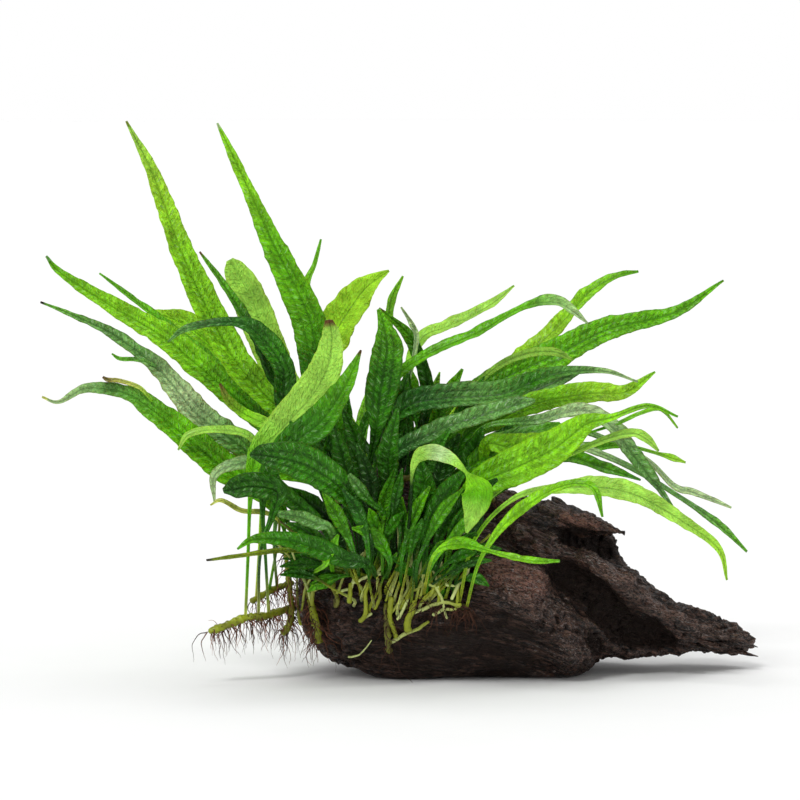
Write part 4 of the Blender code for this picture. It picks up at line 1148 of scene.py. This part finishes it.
def make_leaf(name, kind, path, roll, colours, tip=None, fold=0.2, rib=0.62, wave=0.8, blisters=1.0,
              look=None):
    """A closed leaf along places with widths: a round stalk that widens to a thin blistered blade."""
    dice = random.Random(name)
    curve, along = along_curve(smooth_curve(path), LEAF_STEP)
    centre, width, share = curve[:, :3], np.maximum(curve[:, 3], LEAST_WIDTH), curve[:, 4]
    ahead = unit(np.gradient(centre, axis=0))
    side = unit(np.cross(ahead, LOOK))
    face = unit(np.cross(side, ahead))
    turned = np.radians(roll) * np.minimum(1, ROLL_RAMP * share)[:, None]
    edge = side * np.cos(turned) + face * np.sin(turned)
    out = (face * np.cos(turned) - side * np.sin(turned))[:, None, :]

    stalk = np.clip((BLADE_WIDTH - width) / (BLADE_WIDTH - STALK_WIDTH), 0, 1)
    stalk[np.argmax(width):] = 0
    blade = (1 - stalk)[:, None]
    half = width / np.cos(turned[:, 0]) / 2
    ragged = OUTLINE_UNEVENNESS * wobble(along, dice, OUTLINE_WAVE)
    ragged = ragged + EDGE_RAGGEDNESS * wobble(along, dice, RAGGED_WAVE, 3)
    half = half + ragged * np.minimum(half, 4) * blade[:, 0]
    columns = WIDE_BLADE_COLUMNS if width.max() > WIDE_BLADE else BLADE_COLUMNS
    a = np.linspace(-1, 1, columns)[None, :]
    half = half[:, None]
    aside = a * half

    # The blisters lie in one row on each side of the midrib, and in two where the blade is wide
    flow = along[:, None] + 0.5 * wobble(along, dice, VEIN_WAVE)[:, None]
    u = aside / CELL_LENGTH
    v = flow / CELL_LENGTH + 0.12 * wobble(along, dice, VEIN_SIDE_WAVE)[:, None] * np.sign(a)
    v = v + dice.uniform(0, 40)
    cell = np.abs(np.sin(math.pi * (v - VEIN_SLANT * np.abs(u)))) ** 0.8
    wide = smooth_step(half * 2, WIDE_BLADE - 1, WIDE_BLADE + 2)
    one_row = np.sin(math.pi * np.abs(a)) ** 0.7
    two_rows = np.abs(np.sin(2 * math.pi * np.abs(a) ** 0.9)) ** 0.7
    uneven = 1 + 0.35 * wobble(along, dice, SWELL_WAVE)[:, None] + 0.15 * np.sign(a)
    size = np.clip(half / 6, 0.15, 1) * blade
    swell = cell * (one_row * (1 - wide) + two_rows * wide) * blade + 0.5 * (1 - blade)
    blister = BLISTER_HEIGHT * blisters * swell * uneven * size

    dip = fold * 2 * half * (1 - np.sqrt(a**2 + 0.015))
    ripple = wobble(along, dice, RIPPLE_WAVE)[:, None]
    ripple = ripple + wobble(along, dice, RIPPLE_SIDE_WAVE)[:, None] * np.sign(a)
    ripple = RIPPLE_HEIGHT * wave * ripple * np.abs(a) ** 2 * size
    raised = out * (dip + ripple - blister)[..., None]
    middle = centre[:, None, :] + edge[:, None, :] * aside[..., None] + raised

    blade_thick = BLADE_THICKNESS * (0.35 + 0.65 * (1 - a**2))
    stalk_thick = width[:, None] * np.sqrt(np.maximum(0.03, 1 - a**2))
    thick = blade_thick * blade + stalk_thick * (1 - blade)
    midrib = MIDRIB_HEIGHT * np.exp(-((aside / MIDRIB_HALF_WIDTH) ** 2)) * blade * np.clip(half / 4, 0.2, 1)
    near = middle - out * (thick / 2 - midrib * 0.25)[..., None]
    far = middle + out * (thick / 2 + midrib)[..., None]

    rows = len(along)
    around = 2 * columns
    ring = np.concatenate([near, far[:, ::-1]], axis=1)
    j = np.arange(columns - 1)
    start_cap = np.stack([j, around - 1 - j, around - 2 - j, j + 1], axis=-1)
    end_cap = (rows - 1) * around + start_cap[:, ::-1]
    faces = np.vstack([grid_faces(rows, around, closed=True), start_cap, end_cap])

    piece = new_mesh(name, ring.reshape(-1, 3), faces, LEAF_LOOKS[look or kind])
    set_values(piece, "across", np.broadcast_to(both_faces(a), (rows, around)).ravel())
    set_values(piece, "swell", both_faces(swell).ravel())
    set_values(piece, "rib", np.full(rows * around, rib))
    flat = np.stack([both_faces(u), both_faces(v)], axis=-1).reshape(-1, 2)
    layer = piece.data.uv_layers.new(name="leaf")
    layer.data.foreach_set("uv", flat[faces.ravel()].astype(np.float32).ravel())
    set_values(piece, "tint", np.repeat(leaf_tints(along, colours, tip, dice), around, axis=0))
    return piece


# Small leaves: kind, colours, lean, roll, stem and x of the root or None, points (x, height, width)
SMALL_LEAVES = [
    ("green", "grey mid", -6, -30, None, None,
     [(-97, 125, 1), (-104.8, 127.6, 1.8), (-112, 128, 1.6), (-115.2, 130, 0.6)]),
    ("green", "fresh straw brown", -9.7, -40, None, None,
     [(-99, 111, 1), (-104, 116.4, 1.6), (-112, 119.2, 1.6), (-116.8, 119.6, 1.6), (-118.8, 120.8, 0.7)]),
    ("pale", "mid mid fresh pale fresh brown", -14, -20, "top", -20,
     [(-30, 88, 2), (-44, 99.6, 4.4), (-52.8, 102, 4.8), (-62, 106, 4.4), (-68.4, 111.2, 3.4),
      (-72, 118, 1)]),
    ("green", "mid olive straw", -18, -40, "left_high", -52,
     [(-48.4, 60, 1), (-50.6, 65, 1.4), (-55.6, 67, 2), (-63.6, 67.6, 2), (-71.6, 71.6, 1.6),
      (-76, 69.6, 0.6)]),
    ("bluish", "deep mid grey grey", -38, -10, "front", -22,
     [(-27.6, 59.2, 3), (-32.8, 62, 4.8), (-40, 64.8, 5.2), (-48.4, 66, 2.5)]),
    ("green", "mid fresh mid", -38, 10, "hanging", None,
     [(-30.4, 45.4, 2), (-29.6, 48.6, 3.6), (-27.2, 52.6, 3.8), (-24.8, 57.8, 1)]),
    ("bluish", "dark dark deep deep grey", -38, -20, "front", -2,
     [(0, 59.6, 1.2), (-4.4, 65.2, 1.6), (-11.2, 70.4, 2.6), (-16, 76, 4.6), (-20.4, 81.6, 2)]),
    ("deep", "dark deep mid", -38, -10, "front", -6,
     [(-4, 46.8, 2), (-8, 54.8, 5.6), (-12.8, 58.8, 5.6), (-19.2, 60.4, 1)]),
    ("bluish", "grey ash", -2, 60, "top", -3,
     [(2, 112, 1), (6.4, 134.4, 1.6), (4.4, 142, 1.6), (0.4, 148.4, 0.6)]),
    ("green", "mid fresh", -11, 60, None, None,
     [(74, 98, 0.8), (86.4, 102, 1.4), (95.2, 106, 1.5), (102.4, 108, 1.4), (106.4, 106.4, 1.3),
      (111.2, 100.4, 0.6)]),
    ("pale", "fresh pale pale", -22, 30, "front", 17,
     [(34, 70, 1.5), (60, 86, 2), (80, 95, 2.6), (92, 98.4, 3.6), (98.4, 96.4, 3.6), (103.6, 91.2, 0.8)]),
    ("deep", "deep dark deep", -37, -12, "front", -20,
     [(-23, 46, 1.4), (-29, 53, 3), (-37, 59, 5.5), (-45, 62.5, 1)]),
    ("deep", "dark deep mid", -36, -8, "front", -16,
     [(-17.5, 47, 1.4), (-20.5, 56, 3), (-25.5, 66, 6), (-31, 75, 1)]),
    ("deep", "deep deep blue", -38, 10, "front", -12,
     [(-12.5, 46, 1.3), (-13.5, 56, 2.5), (-17, 67, 5.5), (-23, 76, 1)]),
    ("deep", "dark mid deep", -35, -14, "front", -7,
     [(-7, 48, 1.3), (-7.5, 60, 2.2), (-6, 72, 5), (-2, 84, 1)]),
    ("deep", "deep deep mid", -36, 12, "front", 0, [(0.5, 46, 1.3), (2.5, 56, 2), (6, 67, 5), (12, 77, 1)]),
    ("deep", "dark deep mid", -34, 14, "front", 6, [(7, 46, 1.3), (11, 56, 2.2), (17, 67, 5), (25, 76, 1)]),
    ("deep", "deep mid deep", -33, 20, "front", 10,
     [(12, 44, 1.3), (18, 53, 2), (26, 62, 4.5), (35, 68, 1)]),
    ("deep", "dark deep", -30, 10, "front", 5, [(8, 62, 5), (10, 76, 9), (7, 90, 1)]),
    ("deep", "deep dark", -28, -10, "front", -9, [(-10, 62, 5), (-13, 78, 9), (-20, 93, 1)]),
    ("deep", "dark deep deep", -22, -12, "top", -24, [(-30, 80, 5), (-37, 92, 9), (-44, 103, 1)]),
    ("deep", "dark deep mid", -16, 12, "top", 8, [(12, 86, 5), (19, 97, 9), (30, 107, 1)]),
    ("deep", "deep mid grey", -14, 14, "top", 17, [(26, 84, 5), (36, 92, 8), (48, 101, 1)]),
    ("deep", "dark deep deep", -14, -10, "top", 20, [(26, 80, 5), (29.5, 90, 9.5), (33, 101, 1)]),
    ("deep", "dark dark deep", -18, 8, "top", -12, [(-16, 84, 4), (-18, 96, 7.5), (-23, 108, 1)]),
    # This leaf is painted in the darkest greens, as painted shade deep in the clump.
    ("deep", "night dark dark", -18, 0, "top", 12, [(14, 76, 5), (17, 86, 10), (24, 98, 1)]),
    ("deep", "dark deep deep mid", -30, 10, "front", -24,
     [(-30, 60, 3), (-40, 69, 6), (-52, 77, 8), (-62, 81, 1)]),
    ("deep", "dark deep mid", -8, -10, "top", -19, [(-22, 92, 5), (-27, 106, 9), (-31, 119, 1)]),
    ("deep", "dark deep", -6, 6, "top", -5, [(-4, 92, 5), (-1, 108, 10), (3, 122, 1)]),
    ("deep", "deep mid", 8, 10, "top", 7, [(12, 96, 5), (17, 110, 8), (25, 124, 1)]),
]


# How wide a young leaf is, as a share of its widest, at shares of its length
STALKED = [(0.3, 0.15), (0.5, 0.35), (0.75, 1.0), (1.0, 0.1)]
BLADED = [(0.25, 0.3), (0.5, 0.85), (0.75, 1.0), (1.0, 0.1)]

# How young leaves stand: aim and roll in degrees, and the aim's turn for each millimetre from the crown
LEAST_AIM = 42
LARGEST_AIM = 170
FAN_TURN = 1.5
LARGEST_ROLL = 45

# Heights of the young leaves that root on the wood itself, and how far in front of it they rise
LOW_ROOTS = (25, 36)
STEM_CLEARANCE = 4.5

# Young leaves that crowd between the large ones: how many, stem (None for the wood's face), the x of their
# roots, aim and its spread in degrees from level (None for the fan's own), lengths, widths, lean to the back,
# droop, shape and colours
# The darkest greens at the bases of the young leaves are painted shade, deep in the clump.
CROWDS = [
    (30, "front", (-24, 18), None, 34, (26, 56), (2.2, 5.0), (-0.6, 0.1), (2, 18), STALKED,
     ["stem deep dark deep", "dark dark deep deep", "olive dark deep deep", "night dark dark deep",
      "stem deep deep mid", "night night dark dark"]),
    (34, "top", (-27, 26), None, 26, (26, 50), (3, 6.5), (-0.3, 0.4), (2, 14), BLADED,
     ["dark deep deep", "night dark deep", "dark dark deep"]),
    (18, "back", (-26, 12), None, 26, (26, 52), (3, 6.5), (-0.2, 0.6), (2, 14), BLADED,
     ["deep mid fresh", "dark deep mid", "deep dark deep"]),
    (12, "front", (-26, -8), 156, 14, (22, 40), (2.5, 5.5), (-0.35, 0.0), (3, 10), STALKED,
     ["dark deep deep", "olive deep mid", "dark deep mid", "stem dark deep"]),
    (18, None, (-19, 14), None, 16, (30, 58), (2, 4.4), (-0.4, -0.1), (4, 18), STALKED,
     ["stem stem deep mid", "stalk stem deep deep", "stem olive dark deep", "stalk stem dark deep"]),
]


def make_filling_leaves(tree):
    """Young leaves that crowd between the large ones."""
    dice = random.Random(23)
    number = 0
    for count, stem, root_span, aim, spread, lengths, widths, leans, droops, shape, colours in CROWDS:
        for _ in range(count):
            number += 1
            x = dice.uniform(*root_span)
            if stem:
                root = Vector(STEMS[stem].leaf_root(x))
            else:
                root = Vector(seen_on_wood(tree, x, dice.uniform(*LOW_ROOTS), STALK_WIDTH / 2))
            fan_aim = 90 - (x - CROWN_X) * FAN_TURN
            turn = (fan_aim if aim is None else aim) + dice.gauss(0, spread)
            turn = math.radians(min(max(turn, LEAST_AIM), LARGEST_AIM))
            length = dice.uniform(*lengths)
            width = dice.uniform(*widths)
            lean = dice.uniform(*leans)
            droop = dice.uniform(*droops)
            path = [(*root, STALK_WIDTH)]
            if not stem:
                root.y -= STEM_CLEARANCE
                path.append((*(root + Vector((0, 0, 3))), STALK_WIDTH))
            for share, part in shape:
                reach = length * share
                rise = math.sin(turn) * reach - droop * share**2.5
                step = Vector((math.cos(turn) * reach, lean * reach, rise))
                path.append((*(root + step), max(width * part, 0.9 if share < 1 else 0.6)))
            kind = "deep" if number % 3 else "green"
            roll = dice.uniform(-LARGEST_ROLL, LARGEST_ROLL)
            make_leaf(f"leaf_young_{number:02d}", kind, path, roll, dice.choice(colours))


def leaf_path(stem, x, lean, points):
    """A leaf's places and widths, from its root on a stem if it has one, along points as seen."""
    path = [(*place(px, h, fan_depth(px, h, lean)), w) for px, h, w in points]
    if stem:
        root = STEMS[stem].end_root() if x is None else STEMS[stem].leaf_root(x)
        path.insert(0, (*root, STALK_WIDTH))
    return path


def make_small_leaves():
    for number, (kind, colours, lean, roll, stem, x, points) in enumerate(SMALL_LEAVES, 1):
        make_leaf(f"leaf_small_{number:02d}", kind, leaf_path(stem, x, lean, points), roll, colours)


def make_leaves():
    for name, kind, stem, x, lean, points, roll, colours, settings in LEAVES:
        solid = "leaf_" + name
        path = leaf_path(stem, x, lean, points)
        piece = make_leaf(solid + "_fine", kind, path, roll, colours, **settings)
        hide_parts(solid)


# The stage, in metres, with a studio that is white at the horizon and dimmer above
HORIZON_LIGHT = 1.0
SKY_LIGHT = 0.6
FLOOR_RADIUS = 9
FLOOR_DROP = 0.0004


def make_stage():
    """A pale floor, a plain white studio and two soft lights."""
    bpy.ops.mesh.primitive_circle_add(
        vertices=64, radius=FLOOR_RADIUS, fill_type="NGON", location=(0, 0, -FLOOR_DROP)
    )
    floor = bpy.context.object
    floor.name = "floor"
    n = Nodes(bpy.data.materials.new("pale_floor"))
    speck = n.noise(n.add("TexCoord", "Object", {}), 30)
    colour = n.mix(speck, (0.9, 0.9, 0.9, 1), (0.92, 0.92, 0.92, 1))
    floor.data.materials.append(n.finish(colour, 0.9, speck, 0.01, **{"Specular IOR Level": 0.1}))

    world = bpy.data.worlds.new("white_studio")
    n = Nodes(world)
    height = n.add("SeparateXYZ", "Z", {0: n.add("TexCoord", "Generated", {})})
    light = n.ramp(n.math("ABSOLUTE", height), 0.1, 0.35, HORIZON_LIGHT, SKY_LIGHT)
    n.fill(n.tree.nodes["Background"], {"Color": (1, 1, 1, 1), "Strength": light})
    bpy.context.scene.world = world

    # Name, position, strength and softness in degrees
    lights = [("key", (-0.55, -1.0, 1.35), 1.5, 18), ("top", (0.4, 0.5, 1.5), 0.55, 30)]
    for name, position, strength, softness in lights:
        lamp = bpy.data.lights.new(name, "SUN")
        lamp.energy = strength
        lamp.angle = math.radians(softness)
        holder = bpy.data.objects.new(name, lamp)
        holder.location = position
        holder.rotation_euler = (-Vector(position)).to_track_quat("-Z", "Y").to_euler()
        bpy.context.scene.collection.objects.link(holder)
    bpy.context.scene.view_settings.view_transform = "Standard"


def make_camera():
    camera = bpy.data.cameras.new("camera")
    camera.lens = camera.sensor_width * VIEW_DISTANCE / VIEW_WIDTH
    holder = bpy.data.objects.new("camera", camera)
    view = Vector((0, math.cos(CAMERA_RISE), -math.sin(CAMERA_RISE)))
    holder.location = (Vector(CAMERA_AIM) - view * VIEW_DISTANCE) * MM
    holder.rotation_euler = view.to_track_quat("-Z", "Y").to_euler()
    bpy.context.scene.collection.objects.link(holder)
    bpy.context.scene.camera = holder


def main():
    make_camera()
    make_stage()
    fine_tree = make_driftwood()
    make_splinters(fine_tree)
    make_stems()
    make_stalks(fine_tree)
    make_roots(fine_tree)
    make_leaves()
    make_small_leaves()
    make_filling_leaves(fine_tree)


main()
